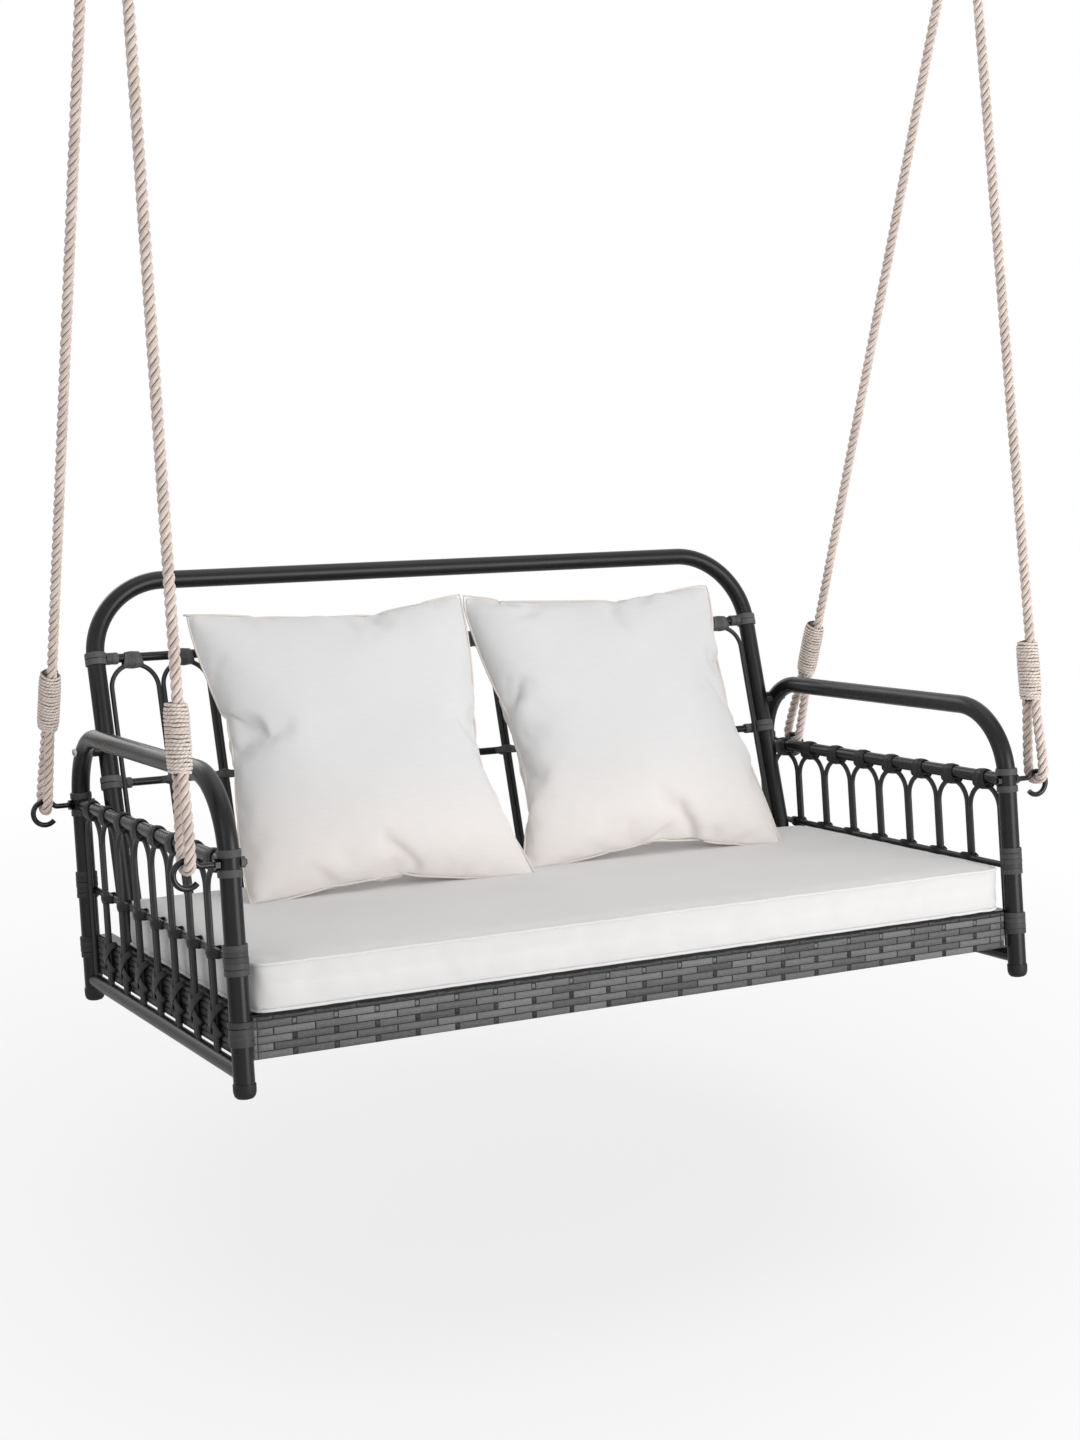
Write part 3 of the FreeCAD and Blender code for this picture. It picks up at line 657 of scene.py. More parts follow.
class Finishes:
    """The finishes of the swing, each built once."""

    def __init__(self) -> None:
        """Build every finish."""
        self.frame = PowderCoat("frame_black", (0.0092, 0.0092, 0.0098), 0.29, specular=0.27).coating()
        self.hook = GlossEnamel("hook_black", (0.003, 0.003, 0.0034), 0.13, specular=0.42).coating()
        self.zinc = ZincPlate("zinc_steel", (0.55, 0.55, 0.56), 0.34, metallic=1.0).coating()
        self.lash = CaneStrand("frame_black", (0.013, 0.013, 0.0135), 0.44, specular=0.28).coating()
        self.rod = PowderCoat("frame_black", (0.03, 0.03, 0.031), 0.4, specular=0.32).coating()
        self.pale_wrap = CaneStrand("wicker_grey", (0.082, 0.082, 0.084), 0.5, specular=0.3).coating()
        self.wrap = CaneStrand("wicker_grey", (0.046, 0.046, 0.048), 0.5, specular=0.3).coating()
        self.weave = WovenStrand("wicker_grey", (0.122, 0.122, 0.123), 0.52, specular=0.3).coating()
        self.cap = MouldedCap("cap_black", (0.009, 0.009, 0.0095), 0.5, specular=0.3).coating()
        self.strap = Webbing("strap_black", (0.02, 0.02, 0.021), 0.8).coating()
        self.rope = RopeFibre("rope_cream", (0.82, 0.70, 0.63), 0.85, sheen=0.2).coating()
        self.twine = TwineFibre("twine_cream", (0.84, 0.70, 0.63), 0.85, sheen=0.2).coating()
        self.piping = Canvas("cushion_white", (0.84, 0.775, 0.72), 0.85, sheen=0.25).coating()
        self.canvas = Canvas("cushion_white", (0.80, 0.79, 0.785), 0.88, sheen=0.25).coating()
        self.pillow = PillowCanvas("cushion_white", (0.825, 0.82, 0.82), 0.88, sheen=0.25).coating()


@dataclass
class MeshPile:
    """Vertices and faces gathered for one mesh, with numbers kept at each vertex."""

    points: list[Any] = field(default_factory=list)
    faces: list[Face] = field(default_factory=list)
    marks: dict[str, list[float]] = field(default_factory=dict)

    def add(self, points: Any, faces: Sequence[Sequence[int]], **marks: Any) -> None:
        """Add a closed form.

        Args:
            points: Its vertices, as rows of three numbers.
            faces: Its faces, counted from its own first vertex.
            marks: A number or one number for each vertex, by name.
        """
        first = sum(len(rows) for rows in self.points)
        rows = np.asarray(points, dtype=float)
        self.points.append(rows)
        self.faces += [tuple(int(i) + first for i in face) for face in faces]
        for name, value in marks.items():
            kept = self.marks.setdefault(name, [])
            kept.extend(np.broadcast_to(value, len(rows)).tolist())

    def mesh(self, name: str, matrix: Matrix | None = None) -> Mesh:
        """Make the mesh.

        Args:
            name: Its name.
            matrix: Where to take it, or None to leave it.

        Returns:
            The mesh, with its marks as attributes.
        """
        made = marked_mesh(name, np.concatenate(self.points).tolist(), [], self.faces, self.marks)
        if matrix is not None:
            made.transform(matrix)
        made.update()
        return made


def tube_faces(rings: int, sides: int, closed: bool) -> list[Face]:
    """The faces of a tube of equal rings.

    Args:
        rings: How many rings it has.
        sides: How many vertices a ring has.
        closed: Whether its end joins its start; otherwise its ends are capped.

    Returns:
        The faces, pointing outwards where the rings turn left round the way they go.
    """
    faces = []
    for i in range(rings if closed else rings - 1):
        j = (i + 1) % rings
        for k in range(sides):
            m = (k + 1) % sides
            faces.append((i * sides + k, i * sides + m, j * sides + m, j * sides + k))
    if not closed:
        faces.append(tuple(reversed(range(sides))))
        faces.append(tuple((rings - 1) * sides + k for k in range(sides)))
    return faces


def lathe(profile: Sequence[Pair], steps: int) -> tuple[np.ndarray, list[Face]]:
    """Turn a profile of radius and height round the Z axis.

    Args:
        profile: Radius and height from the lowest point up; the ends lie on the axis.
        steps: Vertices round the axis.

    Returns:
        The vertices and the faces.
    """
    rows = [(0.0, 0.0, profile[0][1])]
    for radius, height in profile[1:-1]:
        for k in range(steps):
            angle = FULL_TURN * k / steps
            rows.append((radius * math.cos(angle), radius * math.sin(angle), height))
    rows.append((0.0, 0.0, profile[-1][1]))
    count = len(profile) - 2
    faces: list[Face] = []
    for k in range(steps):
        m = (k + 1) % steps
        faces.append((0, 1 + m, 1 + k))
        for i in range(count - 1):
            low, high = 1 + i * steps, 1 + (i + 1) * steps
            faces.append((low + k, low + m, high + m, high + k))
        top = 1 + (count - 1) * steps
        faces.append((len(rows) - 1, top + k, top + m))
    return np.array(rows), faces


def arc(
    centre: Vector, across: Vector, up: Vector, radius: float, start: float, end: float, steps: int
) -> list[Vector]:
    """Points of an arc in degrees, from one direction towards another.

    Args:
        centre: The arc's centre.
        across: The direction at 0 degrees.
        up: The direction at 90 degrees.
        radius: The arc's radius.
        start: The first angle.
        end: The last angle.
        steps: How many steps lie between the first and the last point.

    Returns:
        The points, one more than the steps.
    """
    points = []
    for i in range(steps + 1):
        angle = math.radians(start + (end - start) * i / steps)
        points.append(centre + across * (radius * math.cos(angle)) + up * (radius * math.sin(angle)))
    return points


class Trees:
    """The geometry node trees of the swing, each built once."""

    def __init__(self) -> None:
        """Build every tree."""
        self.bars = self._bars()
        self.row = self._row()
        self.winding = self._winding()
        self.bricks = self._bricks()

    def _start(self, name: str, inputs: Sequence[tuple[str, str]]) -> tuple[Graph, Node]:
        """Begin a tree with a geometry input and named ones.

        Args:
            name: The tree's name.
            inputs: The name and the kind of each further input.

        Returns:
            The graph and its input node.
        """
        tree = bpy.data.node_groups.new(name, "GeometryNodeTree")
        tree.interface.new_socket("Geometry", in_out="INPUT", socket_type="NodeSocketGeometry")
        for title, kind in inputs:
            tree.interface.new_socket(title, in_out="INPUT", socket_type="NodeSocket" + kind)
        tree.interface.new_socket("Geometry", in_out="OUTPUT", socket_type="NodeSocketGeometry")
        graph = Graph(tree)
        return graph, graph.node("NodeGroupInput")

    def _end(self, graph: Graph, shape: NodeSocket, given: Node) -> NodeTree:
        """Close a tree with Realize Instances and Set Material.

        Args:
            graph: The tree's graph.
            shape: The geometry to close with.
            given: The node of the tree's inputs.

        Returns:
            The finished geometry tree.
        """
        real = graph.node("GeometryNodeRealizeInstances", {"Geometry": shape})
        smooth = graph.node("GeometryNodeSetShadeSmooth", {"Geometry": real.outputs[0]})
        inputs = {"Geometry": smooth.outputs[0], "Material": given.outputs["Material"]}
        dressed = graph.node("GeometryNodeSetMaterial", inputs)
        graph.node("NodeGroupOutput", {0: dressed.outputs[0]})
        return graph.tree

    def _repeat(
        self, graph: Graph, shape: NodeSocket, given: Node
    ) -> NodeSocket:
        """Repeat a shape by Count at a Pitch.

        Args:
            graph: The tree's graph.
            shape: The geometry to repeat.
            given: The node of the tree's inputs.

        Returns:
            The instances.
        """
        inputs = {"Count": given.outputs["Count"], "Offset": given.outputs["Pitch"]}
        line = graph.node("GeometryNodeMeshLine", inputs, mode="OFFSET")
        inputs = {"Points": line.outputs[0], "Instance": shape}
        return graph.node("GeometryNodeInstanceOnPoints", inputs).outputs[0]

    def _bars(self) -> NodeTree:
        """Round bars along a path of edges, bent by the radius kept at each vertex, in a row.

        Returns:
            The finished geometry tree.
        """
        names = [("Radius", "Float"), ("Sides", "Int"), ("Steps", "Int"), ("Count", "Int")]
        graph, given = self._start("round_bars", names + [("Pitch", "Vector"), ("Material", "Material")])
        path = graph.node("GeometryNodeMeshToCurve", {"Mesh": given.outputs["Geometry"]})
        inputs = {"Curve": path.outputs[0], "Count": given.outputs["Steps"], "Radius": graph.kept("bend")}
        bent = graph.node("GeometryNodeFilletCurve", inputs | {"Limit Radius": True}, mode="POLY")
        outline = graph.circle(given.outputs["Sides"], given.outputs["Radius"])
        bar = graph.sweep(bent.outputs[0], outline)
        return self._end(graph, self._repeat(graph, bar, given), given)

    def _row(self) -> NodeTree:
        """A row of copies of the given mesh.

        Returns:
            The finished geometry tree.
        """
        names = [("Count", "Int"), ("Pitch", "Vector"), ("Material", "Material")]
        graph, given = self._start("row_of_copies", names)
        return self._end(graph, self._repeat(graph, given.outputs["Geometry"], given), given)

    def _winding(self) -> NodeTree:
        """Twine wound round the Z axis, with its length, its way round and its crown kept.

        Returns:
            The finished geometry tree.
        """
        names = [("Turns", "Float"), ("Radius", "Float"), ("Length", "Float"), ("Oval", "Float")]
        names += [("Twine", "Float"), ("Taper", "Float"), ("Waver", "Float"), ("Material", "Material")]
        graph, given = self._start("wound_twine", names)
        told = given.outputs
        inputs = {"Resolution": 28, "Rotations": told["Turns"], "Height": told["Length"]}
        inputs |= {"Start Radius": told["Radius"], "End Radius": told["Radius"]}
        spiral = graph.node("GeometryNodeCurveSpiral", inputs)
        scale = graph.join(1.0, told["Oval"], 1.0)
        oval = graph.node("GeometryNodeTransform", {"Geometry": spiral.outputs[0], "Scale": scale})
        run = graph.node("GeometryNodeSplineParameter").outputs
        place = graph.node("GeometryNodeInputPosition").outputs[0]
        end = graph.math("ABSOLUTE", graph.math("SUBTRACT", graph.math("MULTIPLY", run["Factor"], 2.0), 1.0))
        sunk = graph.math("MULTIPLY", graph.math("POWER", end, 7.0), told["Taper"])
        waver = graph.spread(graph.noise(place, 65.0, 2.0), 0.3, 0.7, -1.0, 1.0)
        slack = graph.math("MULTIPLY", waver, told["Waver"])
        wide = graph.math("ADD", graph.math("SUBTRACT", 1.0, sunk), graph.math("MULTIPLY", slack, 14.0))
        spot = graph.vector("MULTIPLY", place, graph.join(wide, wide, 1.0))
        inputs = {"Geometry": oval.outputs[0], "Position": spot, "Offset": graph.join(0.0, 0.0, slack)}
        worn = graph.node("GeometryNodeSetPosition", inputs)
        far = graph.length(graph.vector("MULTIPLY", place, graph.vector("DIVIDE", (1.0, 1.0, 0.0), scale)))
        line = graph.keep(graph.keep(worn.outputs[0], "girth", far), "along", run["Length"])
        turn = graph.node("GeometryNodeSplineParameter").outputs["Factor"]
        outline = graph.keep(graph.circle(8, told["Twine"]), "around", turn)
        inner = graph.math("SUBTRACT", graph.kept("girth"), told["Twine"])
        rise = graph.math("SUBTRACT", far, inner)
        crown = graph.math("DIVIDE", rise, graph.math("MULTIPLY", told["Twine"], 2.0))
        return self._end(graph, graph.keep(graph.sweep(line, outline), "crown", crown), given)

    def _bricks(self) -> NodeTree:
        """A crowned strand at each vertex, as long and tall as the vertex says.

        Returns:
            The finished geometry tree.
        """
        names = [("Crown", "Float"), ("Depth", "Float"), ("Material", "Material")]
        graph, given = self._start("woven_strands", names)
        inputs = {"Size": (1.0, 1.0, 1.0), "Vertices X": 9, "Vertices Y": 5, "Vertices Z": 2}
        block = graph.node("GeometryNodeMeshCube", inputs)
        place = graph.node("GeometryNodeInputPosition").outputs[0]
        parts = graph.node("ShaderNodeSeparateXYZ", {0: place}).outputs
        sides = []
        for part, power in ((parts[0], 6.0), (parts[1], 4.0)):
            far = graph.math("ABSOLUTE", graph.math("MULTIPLY", part, 2.0))
            sides.append(graph.math("SUBTRACT", 1.0, graph.math("POWER", far, power)))
        rise = graph.math("MULTIPLY", graph.math("MULTIPLY", sides[0], sides[1]), given.outputs["Crown"])
        upper = graph.math("GREATER_THAN", parts[2], 0.0)
        low = graph.math("MULTIPLY", given.outputs["Depth"], -1.0)
        height = graph.math("ADD", graph.math("MULTIPLY", upper, graph.math("SUBTRACT", rise, low)), low)
        inputs = {"Geometry": block.outputs[0], "Position": graph.join(parts[0], parts[1], height)}
        strand = graph.node("GeometryNodeSetPosition", inputs)
        scale = graph.join(graph.kept("span"), graph.kept("tall"), 1.0)
        points = graph.node("GeometryNodeMeshToPoints", {"Mesh": given.outputs["Geometry"]})
        inputs = {"Points": points.outputs[0], "Instance": strand.outputs[0], "Scale": scale}
        laid = graph.node("GeometryNodeInstanceOnPoints", inputs)
        return self._end(graph, laid.outputs[0], given)

    def grow(
        self, base: Mesh, tree: NodeTree, name: str, inputs: dict[str, Any]
    ) -> Mesh:
        """Run a tree on a mesh and keep the result as a plain mesh.

        Args:
            base: The mesh that the tree starts from.
            tree: The tree.
            name: The name of the result.
            inputs: Values by the names of the tree's inputs.

        Returns:
            The grown mesh.
        """
        carrier = stand(name + "_base", base)
        modifier = carrier.modifiers.new("Grow", "NODES")
        modifier.node_group = tree
        for item in tree.interface.items_tree:
            if item.item_type == "SOCKET" and item.in_out == "INPUT" and item.name in inputs:
                modifier[item.identifier] = inputs[item.name]
        made = take_mesh(carrier)
        made.name = name
        return made


class Workshop:
    """Shared means of the sub-assemblies: trees, finishes and the way a piece is put in place."""

    def __init__(self) -> None:
        """Build the trees and the finishes."""
        self.trees = Trees()
        self.finishes = Finishes()

    def put(
        self,
        name: str,
        mesh: Mesh,
        coating: Coating,
        nodes: Sequence[str] = (),
        body: str = "seat",
        crease: float = 40.0,
    ) -> Object:
        """Make a piece of a mesh, dress it and let it ride.

        Args:
            name: The piece's name.
            mesh: Its mesh, already in place.
            coating: Its material and slot.
            nodes: The CAD nodes that it stands for.
            body: The body that it rides on.
            crease: The angle in degrees from which an edge stays sharp.

        Returns:
            The piece.
        """
        mesh.materials.clear()
        mesh.materials.append(coating.material)
        mesh.polygons.foreach_set("use_smooth", [True] * len(mesh.polygons))
        mesh.set_sharp_from_angle(angle=math.radians(crease))
        piece = stand(name, mesh)
        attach(piece, body)
        if nodes:
            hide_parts(*nodes)
        LOG.info("%s: %d faces on %s", name, len(mesh.polygons), body)
        return piece

    def bars(
        self,
        name: str,
        paths: Sequence[tuple[Sequence[Vector], Sequence[float]]],
        radius: float,
        matrix: Matrix,
        closed: bool = False,
        sides: int = 20,
        steps: int = 16,
        count: int = 1,
        pitch: Sequence[float] = (0.0, 0.0, 0.0),
    ) -> Mesh:
        """Round bars along paths.

        Args:
            name: The mesh's name.
            paths: Points and the bend radius at each, for each bar.
            radius: The bar's radius.
            matrix: Where to take the mesh.
            closed: Whether each path closes.
            sides: Faces round a bar.
            steps: Points in a bend.
            count: How many copies the row has.
            pitch: The step from copy to copy.

        Returns:
            The mesh.
        """
        points: list[Vector] = []
        edges = []
        bends: list[float] = []
        for path, radii in paths:
            first = len(points)
            points += list(path)
            bends += list(radii)
            edges += [(first + i, first + i + 1) for i in range(len(path) - 1)]
            if closed:
                edges.append((len(points) - 1, first))
        base = marked_mesh(name + "_path", [tuple(point) for point in points], edges, [], {"bend": bends})
        inputs = {"Radius": radius, "Sides": sides, "Steps": steps, "Count": count, "Pitch": tuple(pitch)}
        inputs["Material"] = self.finishes.frame.material
        made = self.trees.grow(base, self.trees.bars, name, inputs)
        made.transform(matrix)
        return made

    def hoops(
        self, name: str, crown: Vector, ways: Sequence[Vector], size: Triple, count: int, pitch: Vector
    ) -> Mesh:
        """A row of rods on the seat, each bent to a round arch.

        Args:
            name: The mesh's name.
            crown: The top of the first arch.
            ways: The way from leg to leg of an arch, and the way up along its legs.
            size: The arch's radius, how far its legs reach down from the crown, and the rod's radius.
            count: How many hoops the row has.
            pitch: The step from hoop to hoop.

        Returns:
            The mesh.
        """
        across, up = ways
        radius, drop, rod = size
        near, far = crown - across * radius, crown + across * radius
        bend = radius * 0.999
        path = ([near - up * drop, near, far, far - up * drop], (0.0, bend, bend, 0.0))
        return self.bars(name, [path], rod, SEAT, sides=14, steps=14, count=count, pitch=pitch)

    def repeat(self, pile: MeshPile, name: str, count: int, pitch: Sequence[float]) -> Mesh:
        """A row of copies on the seat of what was gathered.

        Args:
            pile: What was gathered.
            name: The mesh's name.
            count: How many copies there are.
            pitch: The step from one copy to the next.

        Returns:
            The row, in the frame's axes.
        """
        inputs = {"Count": count, "Pitch": tuple(pitch), "Material": self.finishes.frame.material}
        made = self.trees.grow(pile.mesh(name + "_one"), self.trees.row, name, inputs)
        made.transform(SEAT)
        return made

    def welt(
        self, name: str, lines: Sequence[np.ndarray], radius: float, sides: int, coating: Coating, body: str
    ) -> None:
        """Put a round welt along closed seams.

        Args:
            name: The piece's name.
            lines: The seams, as rows of three numbers.
            radius: The welt's radius.
            sides: Faces round it.
            coating: Its material and slot.
            body: The body that it rides on.
        """
        paths = [unbent([Vector(row) for row in line]) for line in lines]
        mesh = self.bars(name, paths, radius, SEAT, closed=True, sides=sides)
        rows = rows_of(mesh)
        lay_flat(mesh, np.column_stack((rows[:, 0] + rows[:, 1], rows[:, 2])))
        self.put(name, mesh, coating, (), body, SOFT_EDGES)


@dataclass
class CaneBand:
    """A flat strand laid once round a bundle."""

    centre: Vector
    across: Vector
    deep: Vector
    half_across: float
    half_deep: float
    width: float = 0.009
    thickness: float = 0.0013
    squareness: float = 2.0
    taper: float = 0.0
    steps: int = 26

    def add_to(self, pile: MeshPile, tone: float) -> None:
        """Add the band to a pile with its tone.

        Args:
            pile: The pile.
            tone: From 0, dark, to 1, light.
        """
        across = self.across.normalized()
        deep = self.deep.normalized()
        along = across.cross(deep).normalized()
        section = ((-1.0, 0.0), (-0.9, self.thickness), (0.0, self.thickness * 1.25))
        section += ((0.9, self.thickness), (1.0, 0.0), (0.0, -0.0002))
        rows = []
        for i in range(self.steps):
            angle = FULL_TURN * i / self.steps
            c, s = math.cos(angle), math.sin(angle)
            u = math.copysign(abs(c) ** (2 / self.squareness), c) * self.half_across
            v = math.copysign(abs(s) ** (2 / self.squareness), s) * self.half_deep
            power = 2 - 2 / self.squareness
            out = across * (math.copysign(abs(c) ** power, c) / self.half_across)
            out += deep * (math.copysign(abs(s) ** power, s) / self.half_deep)
            out = out.normalized()
            spot = self.centre + across * u + deep * v
            half = self.width / 2 * (1 - self.taper * abs(s) ** 1.3)
            for share, rise in section:
                rows.append(spot + along * (half * share) + out * rise)
        pile.add(rows, tube_faces(self.steps, len(section), True), tone=tone)


class Crossing(NamedTuple):
    """Bands that cross one another where a rod meets a rail.

    A turn is an angle in degrees, half of the band's loop across the frame and along it, and
    the band's width.
    """

    height: float
    inset: float
    taper: float
    squareness: float
    turns: tuple[tuple[float, float, float, float], ...]


class Lashed:
    """A frame whose lashings are bands of flat strand, in tones drawn by chance."""

    chance: random.Random
    tones: Pair
    lump: tuple[Triple, ...]

    def band(self, pile: MeshPile, tones: Pair | None = None, **sizes: Any) -> None:
        """Add a band with a tone of its own."""
        CaneBand(**sizes).add_to(pile, self.chance.uniform(*(tones or self.tones)))

    def bundle(self, pile: MeshPile, middle: Vector, ways: Sequence[Vector], size: Triple) -> None:
        """Bands side by side round a rail and a hoop, bulging in the middle.

        Args:
            pile: Where the bands go.
            middle: The lashing's middle.
            ways: The ways along the rail, across the frame and up.
            size: Half of the lashing across the frame, half of its height, and a band's width.
        """
        along, across, up = ways
        for shift, lean, grow in self.lump:
            sizes = {"half_across": size[0] + grow, "half_deep": size[1] + grow, "width": size[2]}
            deep = (up + along * lean).normalized()
            self.band(pile, centre=middle + along * shift, across=across, deep=deep, squareness=2.4, **sizes)

    def cross(
        self, pile: MeshPile, middle: Vector, ways: Sequence[Vector], crossing: Crossing, tones: Pair
    ) -> None:
        """Bands that cross on a rod and a rail.

        Args:
            pile: Where the bands go.
            middle: The lashing's middle.
            ways: The ways along the rail, across the frame and up.
            crossing: The bands' angles and sizes.
            tones: The range of their tones.
        """
        along, across, up = ways
        for angle, half_across, half_deep, width in crossing.turns:
            deep = along * math.cos(math.radians(angle)) + up * math.sin(math.radians(angle))
            sizes = {"half_across": half_across, "half_deep": half_deep, "width": width}
            sizes |= {"taper": crossing.taper, "squareness": crossing.squareness}
            self.band(pile, tones, centre=middle, across=across, deep=deep, **sizes)


@dataclass
class SideFrame(Lashed):
    """An arm with its legs, its rails, its hooped rods and all that is lashed to them."""

    side: Side
    shop: Workshop
    arm_height: float = 0.409
    front_radius: float = 0.112
    rear_radius: float = 0.095
    leg_end: float = 0.006
    foot_rail: float = 0.011
    foot_rail_height: float = 0.032
    middle_rail: float = 0.005
    rod_gap: float = 0.0003
    rod_end: float = 0.002
    tones: Pair = (0.2, 0.8)
    # Darker tones of the crossed lashings, as painted shade
    shade_tones: Pair = (0.0, 0.4)
    cane: float = 0.0004
    tie_depth: float = 0.0107
    tie_band: float = 0.0080
    tie_slack: float = 0.0006
    lump: tuple[Triple, ...] = (
        (-0.0092, 0.24, -0.0003), (0.0092, -0.24, -0.0003),
        (-0.0048, 0.12, 0.0002), (0.0048, -0.1, 0.0002), (0.0, 0.04, 0.0007),
    )
    core: Profile = (
        (0.0, -0.0128), (0.0101, -0.0128), (0.0105, -0.007), (0.0107, 0.0),
        (0.0105, 0.007), (0.0101, 0.0128), (0.0, 0.0128),
    )
    core_size: float = 0.0108
    middle_tie: Crossing = Crossing(
        SIZES.middle_rail_height, 0.0048, 0.58, 1.75,
        ((0.0, 0.0091, 0.0190, 0.0165), (16.0, 0.0098, 0.0176, 0.0065), (-16.0, 0.0101, 0.0170, 0.0065)),
    )
    lower_tie: Crossing = Crossing(
        0.084, 0.0025, 0.25, 1.9, ((47.0, 0.0084, 0.0262, 0.0150), (-47.0, 0.0092, 0.0270, 0.0150))
    )
    # Each winding: height, length, bands, and a tone lift that paints a highlight on the bands at hook
    # height
    windings: tuple[tuple[float, float, int, float], ...] = (
        (0.083, 0.032, 4, 0.0), (0.178, 0.040, 5, 0.0), (0.314, 0.010, 1, 0.6), (0.288, 0.010, 1, 0.6),
    )
    winding_slack: float = 0.0008
    winding_uneven: float = 0.0006
    winding_lean: float = 0.03
    winding_overlap: float = 1.04
    strand: float = 0.0011
    # Tone taken off the rear leg's bands, as painted shade
    rear_painted_shade: float = 0.9

    def __post_init__(self) -> None:
        """Seed the small differences between the bands."""
        self.chance = random.Random(41 + self.side.value)

    @property
    def x(self) -> float:
        """X of the side frame's plane."""
        return self.side.value * SIZES.half_width

    def on_legs(self, place: float, z: float) -> float:
        """Y at a height of a line that runs up along the legs from a place on the hoops' line."""
        return place + (z - SIZES.leg_reference) * math.tan(SIZES.leg_lean)

    def build(self) -> None:
        """Build and place every piece of the side frame."""
        word = self.side.word
        shop = self.shop
        finishes = shop.finishes
        shop.put(f"{word}_arm_and_legs", self._tube(), finishes.frame, [f"{word}_side_tube"])
        inner = SIZES.half_width - SIZES.rod - self.middle_rail
        rails = (
            ("foot_rail", SIZES.half_width, self.foot_rail_height, self.foot_rail),
            ("hoop_rail", SIZES.half_width, SIZES.hoop_rail_height, SIZES.hoop_rail),
            ("middle_rail", inner, SIZES.middle_rail_height, self.middle_rail),
        )
        for name, x, height, radius in rails:
            ends = [Vector((self.side.value * x, SIZES.leg_y(place, height), height)) for place in (-1, 1)]
            mesh = shop.bars(f"{word}_{name}", [unbent(ends)], radius, SEAT)
            shop.put(f"{word}_{name}_bar", mesh, finishes.frame, [f"{word}_{name}"])
        shop.put(f"{word}_hooped_rods", self._hoops(), finishes.rod, [f"{word}_side_hoops"])
        shop.put(f"{word}_hoop_lashings", self._top_lashings(), finishes.lash, [f"{word}_rail_ties"])
        shop.put(f"{word}_rod_lashings", self._cross_lashings(), finishes.lash)
        shop.put(f"{word}_leg_windings", self._leg_windings(), finishes.wrap, [f"{word}_leg_wraps"])

    def _tube(self) -> Mesh:
        """The bent tube of arm and legs.

        Returns:
            The piece's mesh, in the frame's axes.
        """
        heights = ((-1, self.leg_end), (-1, self.arm_height), (1, self.arm_height), (1, self.leg_end))
        points = [Vector((self.x, SIZES.leg_y(place, z), z)) for place, z in heights]
        path = (points, (0.0, self.front_radius, self.rear_radius, 0.0))
        return self.shop.bars(f"{self.side.word}_arm", [path], SIZES.tube, SEAT, sides=40, steps=28)

    def _hoops(self) -> Mesh:
        """The row of hooped rods.

        Returns:
            The piece's mesh, in the frame's axes.
        """
        up = SIZES.leg_up()
        across = Vector((0, math.cos(SIZES.leg_lean), -math.sin(SIZES.leg_lean)))
        radius = (SIZES.hoop_pitch * math.cos(SIZES.leg_lean) - 2 * SIZES.rod - self.rod_gap) / 2
        top = SIZES.hoop_rail_height - SIZES.hoop_rail - SIZES.rod
        drop = top - self.foot_rail_height - self.foot_rail + self.rod_end
        spring = top - radius
        place = SIZES.first(SIZES.hoops, SIZES.hoop_pitch)
        crown = Vector((self.x, self.on_legs(place, spring), spring)) + up * radius
        size = (radius, drop, SIZES.rod + self.cane)
        name = f"{self.side.word}_hoops"
        return self.shop.hoops(name, crown, (across, up), size, SIZES.hoops, BACK * SIZES.hoop_pitch)

    def _top_lashings(self) -> Mesh:
        """The lashing of each hoop's top to the hoop rail, on a slim barrel that fills it.

        Returns:
            The piece's mesh, in the frame's axes.
        """
        pile = MeshPile()
        low = SIZES.hoop_rail_height - SIZES.hoop_rail - 2 * SIZES.rod
        top = SIZES.hoop_rail_height + SIZES.hoop_rail
        middle = (low + top) / 2
        half = top - middle + self.tie_slack
        y = self.on_legs(SIZES.first(SIZES.hoops, SIZES.hoop_pitch), low + SIZES.rod)
        centre = Vector((self.x, y, middle))
        rows, faces = lathe(self.core, 24)
        rows = rows[:, (0, 2, 1)] * np.array((1.0, 1.0, -half / self.core_size)) + np.array(centre)
        pile.add(rows, faces, tone=0.1)
        self.bundle(pile, centre, (BACK, RIGHT, UP), (self.tie_depth, half, self.tie_band))
        return self.shop.repeat(pile, f"{self.side.word}_ties", SIZES.hoops, (0, SIZES.hoop_pitch, 0))

    def _cross_lashings(self) -> Mesh:
        """Crossed lashings of the rods to the middle rail and to the seat's side rail, in darker tones as
        painted shade.

        Returns:
            The piece's mesh, in the frame's axes.
        """
        pile = MeshPile()
        place = SIZES.first(SIZES.hoops - 1, SIZES.hoop_pitch)
        for tie in (self.middle_tie, self.lower_tie):
            y = self.on_legs(place, tie.height)
            middle = Vector((self.x - self.side.value * tie.inset, y, tie.height))
            self.cross(pile, middle, (BACK, RIGHT, UP), tie, self.shade_tones)
        return self.shop.repeat(pile, f"{self.side.word}_crossed", SIZES.hoops - 1, (0, SIZES.hoop_pitch, 0))

    def _leg_windings(self) -> Mesh:
        """The bands wound round both legs, darker on the rear one as painted shade and lighter at hook
        height as painted highlight.

        Returns:
            The piece's mesh, in the frame's axes.
        """
        pile = MeshPile()
        up = SIZES.leg_up()
        deep = up.cross(RIGHT).normalized()
        for leg in (-1, 1):
            for height, length, count, hook_painted_highlight in self.windings:
